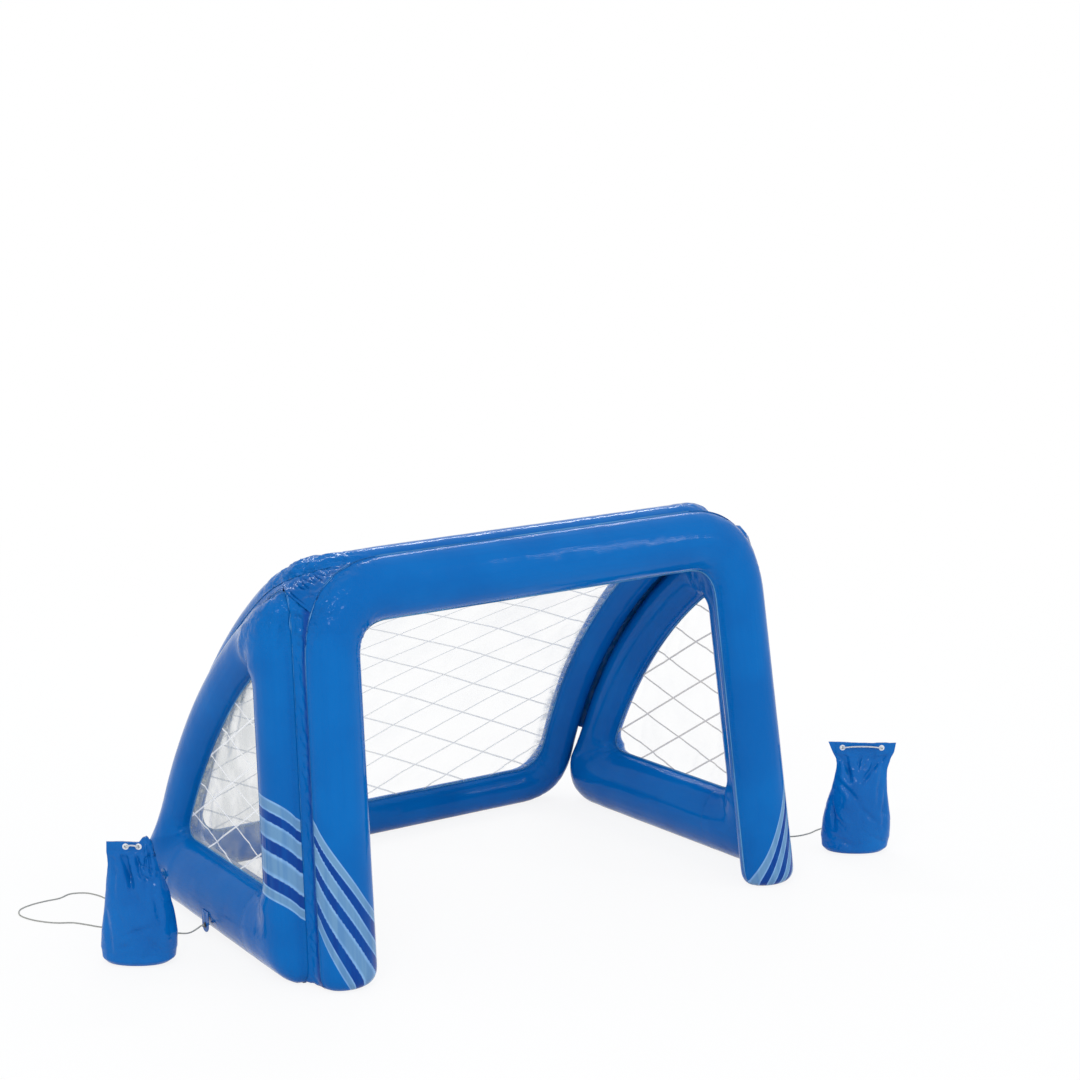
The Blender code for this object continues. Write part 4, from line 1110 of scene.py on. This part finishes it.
def press(verts, frame_in, inner, outer, level):
    """Flattens a surface round a point to a level of that point's frame."""
    back = frame_in.inverted()
    for i, v in enumerate(verts):
        local = back @ v
        away = math.hypot(local.x, local.y)
        if away > outer or abs(local.z) > 0.02:
            continue
        share = 1 - smooth(away, inner, outer)
        if local.z > level:
            local.z += (level - local.z) * share
            verts[i] = frame_in @ local


def punch(verts, faces, frame_in, radius, depth):
    """Opens a round hole: faces inside it go, and the rest of its rim moves out to the circle."""
    back = frame_in.inverted()
    inside = {}
    for i, v in enumerate(verts):
        local = back @ v
        if math.hypot(local.x, local.y) < radius and abs(local.z) < depth:
            inside[i] = local
    kept = [face for face in faces if not all(i in inside for i in face)]
    for i, local in inside.items():
        away = max(math.hypot(local.x, local.y), 1e-6)
        verts[i] = frame_in @ Vector((local.x * radius / away, local.y * radius / away, local.z))
    return kept


def valve_frames():
    flat = flat_of(SIDE_BOTTOM_BULGE)
    middle = SIDE_BOTTOM_TUBE / 2 - FLOOR_SINK
    frames = {}
    for name, side in (("left_valve", -1), ("right_valve", 1)):
        spot = Vector((side * (SIDE_X - narrowing(SIDE_VALVE_Y, middle) + flat), SIDE_VALVE_Y, middle))
        frames[name] = facing(spot, sideways(side), Vector((0, 1, 0)))
    spot = back_place(Vector((BACK_VALVE_X, 0)), flat_of(BACK_HALF_DEPTH))
    frames["back_valve"] = facing(spot, ARC.point(0, 1) - ARC.point(0), Vector((1, 0, 0)))
    ends = []
    for k in (ARCH_VALVE_FLAT, ARCH_VALVE_FLAT + 1):
        angle = 2 * math.pi * k / TUBE_SIDES
        ends.append(Vector((ARCH_HALF * math.cos(angle), ARCH_HALF_DEPTH * math.sin(angle))))
    middle = (ends[0] + ends[1]) / 2
    edge = ends[1] - ends[0]
    spot = arch_place(Vector((ARCH_VALVE_X, ARCH_LENGTH - ARCH_HALF + middle.x)), middle.y)
    frames["arch_valve"] = facing(spot, ARCH_UP * edge.y - ARCH_BACK * edge.x, Vector((1, 0, 0)))
    return frames


VALVES = valve_frames()


def chamber_piece(name, made, node, valve_name, band, mat):
    if node == "right_side_frame":
        made.verts = [drawn_in(v) for v in made.verts]
    crumple(made)
    frame_in = VALVES[valve_name]
    press(made.verts, frame_in, *VALVE_SEAT)
    made.faces = punch(made.verts, made.faces, frame_in, *VALVE_HOLE)
    if node.endswith("side_frame"):
        side = -1 if node.startswith("left") else 1
        tab = tab_frame(side) @ Matrix.Translation((0, TAB_SEAT_SHIFT * side, -TAB_THICKNESS / 2))
        press(made.verts, tab, *TAB_SEAT)
    made.verts = above_floor(made.verts)
    bands = [band(info) if band else (-1.0, 0.0) for info in made.info]
    crumpled = [
        max(gather(v) * (0.4 if v.x > 0 else 1.0), 0.10 * info[4]) for v, info in zip(made.verts, made.info)
    ]
    obj = add_mesh(name, made.verts, made.faces, mat, {
        "along": [info[0] for info in made.info],
        "seam": [info[2] for info in made.info],
        "crumpled": crumpled,
        "band": [item[0] for item in bands],
        "printed": [item[1] for item in bands],
    })
    return piece(obj, "goal", "blue_vinyl", node)


chamber_piece("front_arch_film", arch_chamber(), "front_arch", "arch_valve", leg_band, STRIPED_SKIN)
for word, side in (("left", -1), ("right", 1)):
    chamber_piece(
        word + "_side_film", side_chamber(side), word + "_side_frame", word + "_valve", side_band(side), STRIPED_SKIN
    )
chamber_piece("back_frame_film", back_chamber(), "back_frame", "back_valve", None, SKIN)


# Nets
ROW_CROWDING = 0.85
COLUMN_CROWDING = 0.7
FILM_EDGE = 0.030


def span_at(polygon, level):
    """The lowest and highest x of a closed outline at one height."""
    hits = []
    for a, b in zip(polygon, polygon[1:] + polygon[:1]):
        if (a.y - level) * (b.y - level) <= 0 and abs(a.y - b.y) > 1e-12:
            hits.append(a.x + (b.x - a.x) * (level - a.y) / (b.y - a.y))
    return min(hits), max(hits)


def film_sheet(name, polygon, place, rows, columns, mat, node, sag, gathered_edge=False):
    low = min(p.y for p in polygon)
    high = max(p.y for p in polygon)
    verts = []
    net_u = []
    net_v = []
    rims = []
    spans = []
    for i in range(rows + 1):
        t = i / rows
        t -= ROW_CROWDING * math.sin(2 * math.pi * t) / (2 * math.pi)
        level = low + (high - low) * min(max(t, 0.0004), 0.9996)
        left, right = span_at(polygon, level)
        spans.append((level, left, right))
        for k in range(columns + 1):
            s = k / columns
            s -= COLUMN_CROWDING * math.sin(2 * math.pi * s) / (2 * math.pi)
            x = left + (right - left) * s
            edge = min(x - left, right - x, level - low, high - level)
            inside = smooth(edge, 0.0, FILM_EDGE)
            slow = noise_at(x * 4.2, level * 4.2, 3.0)
            quick = noise_at(x * 13, level * 13, 9.0)
            pulled = crest(noise_at(x * 16 + level * 9, level * 5 - x * 3, 1.0), 3)
            rim = smooth(edge, 0.004, 0.02) * (1 - smooth(edge, FILM_EDGE, 0.12))
            off = inside * (slow * sag + quick * sag * 0.28) + rim * sag * 0.55 * pulled
            verts.append(place(Vector((x, level)), off))
            net_u.append(x)
            net_v.append(level)
            rims.append(min(right - x, edge + 0.008 if node == "left_net" else 1.0) if gathered_edge else 1.0)
    for (z0, a0, b0), (z1, a1, b1) in zip(spans, spans[1:]):
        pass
    faces = grid_faces(rows, columns)
    obj = add_mesh(name, verts, faces, mat, {"net_u": net_u, "net_v": net_v, "rim": rims})
    piece(obj, "goal", "printed_film", node)


def middle_of(points):
    return (
        (min(p.x for p in points) + max(p.x for p in points)) / 2,
        (min(p.y for p in points) + max(p.y for p in points)) / 2,
    )


back_hole = back_outline(-BACK_HALF - GAP, BACK_INNER_CUT)[0]
side_hole = side_inner(GAP)[0]
CLEAR = (0.62, 0.69, 0.77)
BACK_FILM = net_film(
    "net_film_back", 0.0, middle_of(back_hole), 0.60, (0.80, 0.81, 0.80), CLEAR, 0.008, 0.24
)
LEFT_FILM = net_film(
    "net_film_left", -LEAN, middle_of(side_hole), 0.92, (0.95, 0.95, 0.94), (0.42, 0.45, 0.45), 0.12, 1.0
)
# The right sheet's white print is painted brownish grey: painted shade.
RIGHT_FILM = net_film(
    "net_film_right", -LEAN, middle_of(side_hole), 0.80, (0.62, 0.57, 0.53), CLEAR, 0.008, 0.26
)
film_sheet("back_net_film", back_hole, back_place, 110, 130, BACK_FILM, "back_net", 0.0050, True)
for word, side in (("left", -1), ("right", 1)):
    film_sheet(
        word + "_net_film", side_hole, side_place(side), 110, 80, LEFT_FILM if side < 0 else RIGHT_FILM,
        word + "_net", 0.0060, side < 0,
    )


# Welds between the chambers
WEB_LAP = 0.0012
WEB_STEPS = 150
WEB_SAG = 0.0018
WEB_WAVE = 0.0012


def weld_film(name, lines, outward, count, node, crumpled=0.0):
    """A web of film between seam lines, drawn in along its middle and creased across."""
    lines = [even_points(line, count) for line in lines]
    gathered = name.endswith("corner_web")
    across_steps = 22 if gathered else 12
    lap = WEB_LAP if gathered else 0.0
    period, drawn = (0.011, 0.0042 if crumpled > 0.002 else 0.0015) if gathered else (0.022, 0.0022)
    verts = []
    shares = []
    walk = 0.0
    for i in range(count + 1):
        rung = even_points([line[i] for line in lines], across_steps)
        if i:
            walk += (lines[0][i] - lines[0][i - 1]).length
        along = lines[0][min(i + 1, count)] - lines[0][max(i - 1, 0)]
        across = rung[-1] - rung[0]
        lift = along.cross(across)
        lift = (lift if lift.dot(outward) > 0 else -lift).normalized()
        for j, spot in enumerate(rung):
            s = j / across_steps
            held = math.sin(math.pi * s)
            crease = crest(noise_at(walk / period, s * 1.6, 2.0), 3.0)
            sunk = WEB_SAG + drawn * crease + WEB_WAVE * noise_at(walk / 0.07, s, 5.0)
            if crumpled:
                tighter = 1 + 7 * smooth(i / count, 0.82, 0.95) if name == "left_front_web" else 1.0
                first = crest(noise_at(spot.x * 34, spot.y * 46, spot.z * 40), 2.6)
                second = crest(noise_at(spot.y * 70 + 5, spot.z * 60, spot.x * 64), 2.6)
                sunk += crumpled * tighter * (first + 0.5 * second - 0.6)
            lapped = across.normalized() * (lap * (2 * s - 1))
            verts.append(spot + lapped + lift * (GAP + WEB_STAND - held * sunk))
            shares.append(s)
    mat = FRONT_WELD_SKIN if name.endswith("front_web") else WELD_SKIN
    obj = add_mesh(name, verts, grid_faces(count, across_steps), mat, {"across": shares})
    thick = obj.modifiers.new("film", "SOLIDIFY")
    thick.thickness = WEB_THICKNESS
    thick.offset = 0.0
    return piece(obj, "goal", "blue_vinyl", node)


CORNER_SHARE = 0.32
CORNER_STEPS_ALONG = 170
LOWEST_WEB = 0.008


def seam_and_bend(outline_points, low, outer_x, cut):
    """The right half of a frame's outer seam above a height, and its top corner's bend from there."""
    half = [p for p in outline_points if p.x >= 0]
    flank = [p for p in half if p.y > low and p.x > outer_x - cut * CORNER_SHARE ** 2]
    return flank, [p for p in half if p.y > flank[-1].y and p.x > outer_x - cut]


def mirrored(place, side, flats):
    return [place(Vector((side * p.x, p.y)), 0.0) for p in flats]


leg_flat, bend_flat = seam_and_bend(
    arch_outline(ARCH_HALF, ARCH_OUTER_CUT)[0], LOWEST_WEB, FOOT_X + ARCH_HALF, ARCH_OUTER_CUT
)
rear_flat, turn_flat = seam_and_bend(
    back_outline(BACK_HALF, BACK_OUTER_CUT)[0], BACK_OUTER_CUT, BACK_X + BACK_HALF, BACK_OUTER_CUT
)
for share in FOOT_WEB_SHARES:
    narrowed = (1 - share ** FOOT_BLUNTNESS) ** (1 / FOOT_BLUNTNESS)
    drop = FOOT_ROUNDING - (FOOT_ROUNDING + FLOOR_SINK) * share
    leg_flat.insert(0, Vector((FOOT_X + ARCH_HALF * narrowed, drop)))
side_line = side_outer()[0]
apex = max(range(len(side_line)), key=lambda i: side_line[i].y)
front_seam = [p for p in side_line[apex:] if p.y > LOWEST_WEB][::-1]
rear_seam = [p for p in side_line[:apex + 1] if p.y > ARC.point(BACK_OUTER_CUT, -BACK_OFFSET).z]
for word, side in (("left", -1), ("right", 1)):
    front, rear = ([drawn_in(side_place(side)(p, 0.0)) for p in seam] for seam in (front_seam, rear_seam))
    outward = Vector((side, 0, 0.2))
    leg = mirrored(arch_place, side, leg_flat)
    back = mirrored(back_place, side, rear_flat)
    weld_film(word + "_front_web", [leg, front], outward, WEB_STEPS, word + "_front_weld", 0.0010)
    weld_film(word + "_rear_web", [rear, back], outward, WEB_STEPS, word + "_rear_weld", 0.0010)
    bend = even_points([leg[-1]] + mirrored(arch_place, side, bend_flat), CORNER_STEPS_ALONG)
    turn = even_points([back[-1]] + mirrored(back_place, side, turn_flat), CORNER_STEPS_ALONG)
    ridge = []
    for k, (a, b) in enumerate(zip(bend, turn)):
        ridge.append(front[-1].lerp((a + b) / 2, smooth(k / CORNER_STEPS_ALONG, -0.1, 0.75)))
    weld_film(
        word + "_corner_web", [bend, ridge, turn], Vector((side, 0, 1)), CORNER_STEPS_ALONG,
        word + "_front_weld", 0.0042 if side < 0 else 0.0010,
    )
arch_seam, back = [], []
for across in (-1.0, -0.5, 0.0, 0.5, 1.0):
    arch_seam.append(arch_place(Vector((across * bend_flat[-1].x, ARCH_LENGTH)), 0.0))
    back.append(back_place(Vector((across * turn_flat[-1].x, turn_flat[-1].y)), 0.0))
weld_film("top_web", [arch_seam, back], Vector((0, 0, 1)), 160, "top_weld", 0.0006)


# Weight bags. Each row is a height with the film's left edge, right edge and half depth there; tops
# are the heights of the upper edge across the bag, and folds are lines (start, end, depth, width).
BAG_SHAPES = {
    "left": {
        "rows": (
            (0.000, -0.050, 0.052, 0.030), (0.004, -0.064, 0.065, 0.042), (0.012, -0.0725, 0.076, 0.048),
            (0.033, -0.0765, 0.0815, 0.050), (0.067, -0.0740, 0.083, 0.050), (0.107, -0.068, 0.0765, 0.046),
            (0.150, -0.0635, 0.0670, 0.038), (0.180, -0.061, 0.0570, 0.031), (0.205, -0.060, 0.0490, 0.024),
            (0.224, -0.0585, 0.0420, 0.013), (0.233, -0.058, 0.0385, 0.0042), (0.256, -0.0575, 0.0340, 0.0035),
        ),
        "tops": (
            (-0.058, 0.252), (-0.028, 0.252), (-0.018, 0.2515), (0.008, 0.2505), (0.016, 0.261),
            (0.023, 0.263), (0.034, 0.254),
        ),
        "lobe": (0.016, 0.024, 0.0095),
        "folds": (
            ((-0.026, 0.236), (-0.006, 0.166), 0.0180, 0.0064), ((0.002, 0.232), (0.016, 0.186), 0.0090, 0.0046),
            ((0.019, 0.256), (0.026, 0.206), 0.0085, 0.0034), ((0.028, 0.246), (0.038, 0.186), 0.0070, 0.0040),
            ((0.008, 0.210), (0.040, 0.194), 0.0060, 0.0034), ((0.010, 0.190), (0.044, 0.172), 0.0045, 0.0036),
            ((-0.046, 0.226), (-0.042, 0.140), 0.0040, 0.0060), ((-0.008, 0.160), (0.022, 0.120), 0.0040, 0.0075),
            ((-0.022, 0.068), (0.034, 0.086), 0.0045, 0.0052), ((-0.034, 0.040), (-0.008, 0.050), 0.0035, 0.0052),
            ((0.042, 0.150), (0.056, 0.090), 0.0045, 0.0070), ((-0.062, 0.110), (-0.050, 0.030), 0.0045, 0.0065),
            ((0.030, 0.060), (0.062, 0.024), 0.0040, 0.0060), ((-0.040, 0.120), (-0.020, 0.080), 0.0035, 0.0070),
        ),
    },
    "right": {
        "rows": (
            (0.000, -0.052, 0.050, 0.030), (0.004, -0.066, 0.065, 0.042), (0.012, -0.074, 0.075, 0.048),
            (0.035, -0.0775, 0.0805, 0.050), (0.075, -0.0740, 0.0825, 0.049), (0.110, -0.0670, 0.0775, 0.045),
            (0.140, -0.0580, 0.0735, 0.039), (0.170, -0.0510, 0.0720, 0.032), (0.195, -0.0480, 0.0750, 0.024),
            (0.215, -0.0480, 0.0795, 0.014), (0.232, -0.0540, 0.0850, 0.0045), (0.256, -0.0640, 0.0885, 0.0035),
        ),
        "tops": ((-0.064, 0.256), (-0.030, 0.2545), (0.012, 0.2530), (0.056, 0.2535), (0.088, 0.2550)),
        "lobe": None,
        "folds": (
            ((-0.034, 0.236), (-0.018, 0.172), 0.0120, 0.0055), ((0.068, 0.232), (0.012, 0.168), 0.0110, 0.0060),
            ((-0.060, 0.128), (-0.052, 0.060), 0.0060, 0.0050), ((0.070, 0.150), (0.064, 0.060), 0.0050, 0.0055),
            ((0.010, 0.236), (0.002, 0.192), 0.0060, 0.0042), ((0.040, 0.236), (0.034, 0.200), 0.0055, 0.0040),
            ((-0.048, 0.170), (0.004, 0.128), 0.0045, 0.0060), ((0.060, 0.196), (0.050, 0.110), 0.0045, 0.0065),
            ((-0.062, 0.100), (-0.030, 0.066), 0.0040, 0.0060), ((0.010, 0.110), (0.058, 0.070), 0.0035, 0.0060),
            ((-0.056, 0.046), (-0.012, 0.024), 0.0035, 0.0060), ((0.034, 0.046), (0.066, 0.030), 0.0030, 0.0050),
        ),
    },
}
AROUND = 220
SOLE_HEIGHTS = (0.0, 0.0006, 0.0014, 0.0026, 0.0042, 0.0062, 0.0088)
BODY_ROWS = 100
COLLAR_ROWS = 16
NECK_FOLD = 0.0050
BELLY_DENT = 0.0060
BELLY_CREASE = 0.0018
MOUTH_WAVE = 0.0050
MOUTH_CRUSH = 0.0040


def between(rows, value):
    """The rest of a row of numbers at some first number, eased between the table's rows."""
    if value <= rows[0][0]:
        return list(rows[0][1:])
    for (low, *first), (high, *second) in zip(rows, rows[1:]):
        if value <= high:
            t = (value - low) / (high - low)
            return [a + (b - a) * t for a, b in zip(first, second)]
    return list(rows[-1][1:])


def fold_depth(folds, x, z):
    """How far the listed folds draw the film in at one place of a bag's front."""
    deep = 0.0
    for (x0, z0), (x1, z1), depth, width in folds:
        dx, dz = x1 - x0, z1 - z0
        t = min(1.0, max(0.0, ((x - x0) * dx + (z - z0) * dz) / (dx * dx + dz * dz)))
        off = math.hypot(x - x0 - dx * t, z - z0 - dz * t)
        deep += depth * math.exp(-(off / width) ** 2) * (0.4 + 0.6 * math.sin(math.pi * min(max(t, 0.02), 0.98)))
    return deep


def bag_film(name, base, word, shift, spacing, seed, body, node):
    shape = BAG_SHAPES[word]
    collar = BAG_HEIGHT - 2 * BAG_EYELET_DROP
    sole_top = SOLE_HEIGHTS[-1]
    heights = list(SOLE_HEIGHTS)
    heights += [sole_top + (collar - sole_top) * k / BODY_ROWS for k in range(1, BODY_ROWS + 1)]
    heights += [collar + (BAG_HEIGHT - collar) * k / COLLAR_ROWS for k in range(1, COLLAR_ROWS + 1)]
    verts = []
    for height in heights:
        left, right, depth = between(shape["rows"], height)
        up = height / BAG_HEIGHT
        flap = smooth(up, 0.86, 0.92)
        width = (right - left) / 2
        middle = (right + left) / 2
        square = 2.2 + 0.8 * flap
        for k in range(AROUND):
            angle = 2 * math.pi * k / AROUND
            c, s = math.cos(angle), math.sin(angle)
            x = math.copysign(abs(c) ** (2 / square), c) * width
            y = math.copysign(abs(s) ** (2 / square), s) * depth
            normal = Vector((x / width ** 2, y / depth ** 2, 0)).normalized()
            x += middle
            if shape["lobe"]:
                start, full, extra = shape["lobe"]
                swollen = extra / max(depth, BAG_COLLAR_DEPTH) * smooth(x, start, full) * smooth(up, 0.80, 0.88)
                y *= 1 + swollen * (1 - 0.5 * smooth(up, 0.94, 1.0))
            neck = smooth(up, 0.50, 0.76) * (1 - smooth(up, 0.84, 0.93))
            deep = neck * NECK_FOLD * crest(noise_at(x * 30 + seed, 2.0 if y < 0 else 6.0, up * 4.0), 2.6)
            belly = smooth(up, 0.02, 0.12) * (1 - smooth(up, 0.84, 0.93))
            px, py, pz = x * 9 + seed, y * 9, height * 9
            deep += belly * BELLY_DENT * (0.5 + 0.5 * noise_at(px, py, pz))
            deep += belly * BELLY_CREASE * crest(noise_at(px * 1.9 + pz, py * 1.9, pz * 1.4), 3.0) ** 1.5
            if y < 0:
                fronting = smooth(-y / depth, 0.1, 0.6)
                deep += fold_depth(shape["folds"], x, height) * fronting * (1 - 0.6 * flap)
            edged = 0.45 + 0.55 * smooth(abs(y) / depth, 0.05, 0.55)
            deep = min(deep * edged, max(depth * 0.75, 0.001))
            top = between(shape["tops"], x)[0]
            z = height + (top - BAG_HEIGHT) * smooth(up, 0.88, 1.0)
            near_eyelet = min(abs(x - shift - spacing / 2), abs(x - shift + spacing / 2))
            free = smooth(near_eyelet, 0.009, 0.020) * flap
            spot = Vector((x, y, z)) - normal * deep * (1 - flap)
            if flap > 0:
                lobe = smooth(x, shape["lobe"][0], shape["lobe"][1]) if shape["lobe"] else 0.0
                wave = noise_at(x * 24 + seed, 2.0, height * 6) + 0.5 * noise_at(x * 60 + seed, 5.0, height * 14)
                crush = crest(noise_at(x * 90 + seed, 3.0 if y < 0 else 8.0, height * 40), 2.6)
                waving = MOUTH_WAVE * wave * free * smooth(up, 0.86, 1.0)
                spot.y = spot.y * (1 - 0.55 * free * (1 - lobe)) + waving
                spot.y -= math.copysign(MOUTH_CRUSH * crush * lobe, y)
            verts.append(spot)
    faces = []
    for i in range(len(heights) - 1):
        for k in range(AROUND):
            after = (k + 1) % AROUND
            a, b = i * AROUND + k, i * AROUND + after
            faces.append((a, b, b + AROUND, a + AROUND))
    top = (len(heights) - 1) * AROUND
    verts.append(Vector((0, 0, 0)))
    sole = len(verts) - 1
    for k in range(AROUND):
        faces.append(((k + 1) % AROUND, k, sole))
    for k in range(AROUND // 2):
        a, b = top + k, top + k + 1
        c, d = top + (AROUND - k) % AROUND, top + (AROUND - k - 1) % AROUND
        corners = [a, b, d, c]
        corners = [v for i, v in enumerate(corners) if v not in corners[:i]]
        if len(corners) > 2:
            faces.append(tuple(corners))
    height = BAG_HEIGHT - BAG_EYELET_DROP
    for across in (-spacing / 2, spacing / 2):
        hole = Matrix.Translation((across + shift, 0, height)) @ Matrix.Rotation(math.pi / 2, 4, "X")
        faces = punch(verts, faces, hole, *EYELET_CUT)
    obj = add_mesh(name, above_floor([base @ v for v in verts]), faces, BAG_SKIN)
    return piece(obj, body, "blue_vinyl", node)


def drawstring_points(frame_in, spacing):
    hole = spacing / 2 - (EYELET_HOLE - CORD / 2 - 2 * GAP)
    height = BAG_HEIGHT - BAG_EYELET_DROP
    knot = knot_spot()
    lip = BAG_COLLAR_DEPTH + GAP + EYELET_LIP
    rise = Vector((0, 0, 0.001))
    half_route = [
        Vector((KNOT * 0.6, knot.y, height)), Vector((hole * 0.6, knot.y, height)),
        Vector((hole - CORD, lip + CORD, height)), Vector((hole, lip + CORD / 4, height)),
        Vector((hole, 0, height)), Vector((hole, -lip - CORD / 4, height)),
        Vector((hole - CORD, -lip - CORD, height)) + rise, Vector((hole * 0.5, -lip - CORD, height)) + rise * 3,
    ]
    left = [Vector((-p.x, p.y, p.z)) for p in half_route]
    middle = Vector((0, -lip - CORD, height)) + rise * 3.5
    return [frame_in @ p for p in smooth_route(left + [middle] + half_route[::-1], CORD)]


for word, side, place, turn, shift, spacing, _ in BAGS:
    base = bag_frame(place, turn)
    frame_here = base @ Matrix.Translation((shift, 0, 0))
    body = word + "_weight_bag"
    bag_film(word + "_bag_film", base, word, shift, spacing, 3.7 * side, body, word + "_bag")
    string = soft_curve(word + "_drawstring_cord", drawstring_points(frame_here, spacing), CORD, WHITE_CORD)
    piece(string, body, "cord", word + "_drawstring")


# Rigid pieces keep their solids and get a finish
def finish_node(name, mat):
    node = frame["nodes"][name]
    if not node.material_slots:
        node.data.materials.append(mat)
    for slot in node.material_slots:
        slot.material = mat


for name in frame["nodes"]:
    if name.endswith(("_valve_base", "_valve_stem", "_valve_stopper")):
        finish_node(name, FITTING)
    elif "_bag_eyelet_" in name:
        finish_node(name, WHITE_PLASTIC)
    elif name.endswith("_tether_ring"):
        finish_node(name, DARK_PLASTIC)
    elif name.endswith("_tether_tab"):
        finish_node(name, BAG_SKIN)


# Stage and light
def camera_white(graph):
    """1 for the rays that should see plain white: those of the camera, of gloss and of glass."""
    path = graph.nodes.new("ShaderNodeLightPath").outputs
    seen = graph.math("MAXIMUM", path["Is Camera Ray"], path["Is Glossy Ray"])
    return graph.math("MAXIMUM", seen, path["Is Transmission Ray"])


def show_white(graph, share, plain, white, output):
    """Puts plain white over a shader by a share, as the output's surface."""
    mixed = graph.feed(graph.nodes.new("ShaderNodeMixShader"), _0=share, _1=plain, _2=white)
    graph.links.new(mixed.outputs[0], graph.nodes[output].inputs["Surface"])


WHITE = (1.0, 1.0, 1.0, 1.0)


def floor_plane():
    mat, shader = principled("floor_white", (0.90, 0.90, 0.90), 0.8)
    shader.inputs["Specular IOR Level"].default_value = 0.1
    graph = Graph(mat)
    glow = graph.feed(graph.nodes.new("ShaderNodeEmission"), Color=WHITE)
    away = graph.nodes.new("ShaderNodeVectorMath")
    away.operation = "LENGTH"
    graph.links.new(graph.place(), away.inputs[0])
    level = graph.span(away.outputs["Value"], 1.0, 4.0, 0.88, 1.0)
    share = graph.times(camera_white(graph), level)
    show_white(graph, share, shader.outputs[0], glow.outputs[0], "Material Output")
    bm = bmesh.new()
    bmesh.ops.create_grid(bm, x_segments=1, y_segments=1, size=FLOOR_HALF)
    mesh = bpy.data.meshes.new("floor")
    bm.to_mesh(mesh)
    bm.free()
    mesh.materials.append(mat)
    link(bpy.data.objects.new("floor", mesh))


floor_plane()
world = bpy.data.worlds.new("studio")
scene.world = world
world.use_nodes = True
studio = Graph(world)
plain = studio.feed(studio.nodes["Background"], Color=(0.95, 0.97, 1.0, 1.0), Strength=0.86)
white = studio.feed(studio.nodes.new("ShaderNodeBackground"), Color=WHITE, Strength=1.0)
show_white(studio, camera_white(studio), plain.outputs[0], white.outputs[0], "World Output")


def lamp(name, place, target, size, power):
    light = bpy.data.lights.new(name, "AREA")
    light.shape = "RECTANGLE"
    light.size, light.size_y = size
    light.energy = power
    obj = link(bpy.data.objects.new(name, light))
    obj.location = place
    obj.rotation_euler = (Vector(target) - Vector(place)).to_track_quat("-Z", "Y").to_euler()


lamp("key", (-2.2, -2.4, 3.2), (0.0, 0.0, 0.3), (1.7, 0.20), 36)
lamp("strip", (2.6, -3.2, 2.4), (0.2, 0.0, 0.4), (0.14, 2.0), 15)
lamp("rear", (1.6, 2.6, 2.8), (0.1, 0.1, 0.5), (2.8, 0.16), 34)
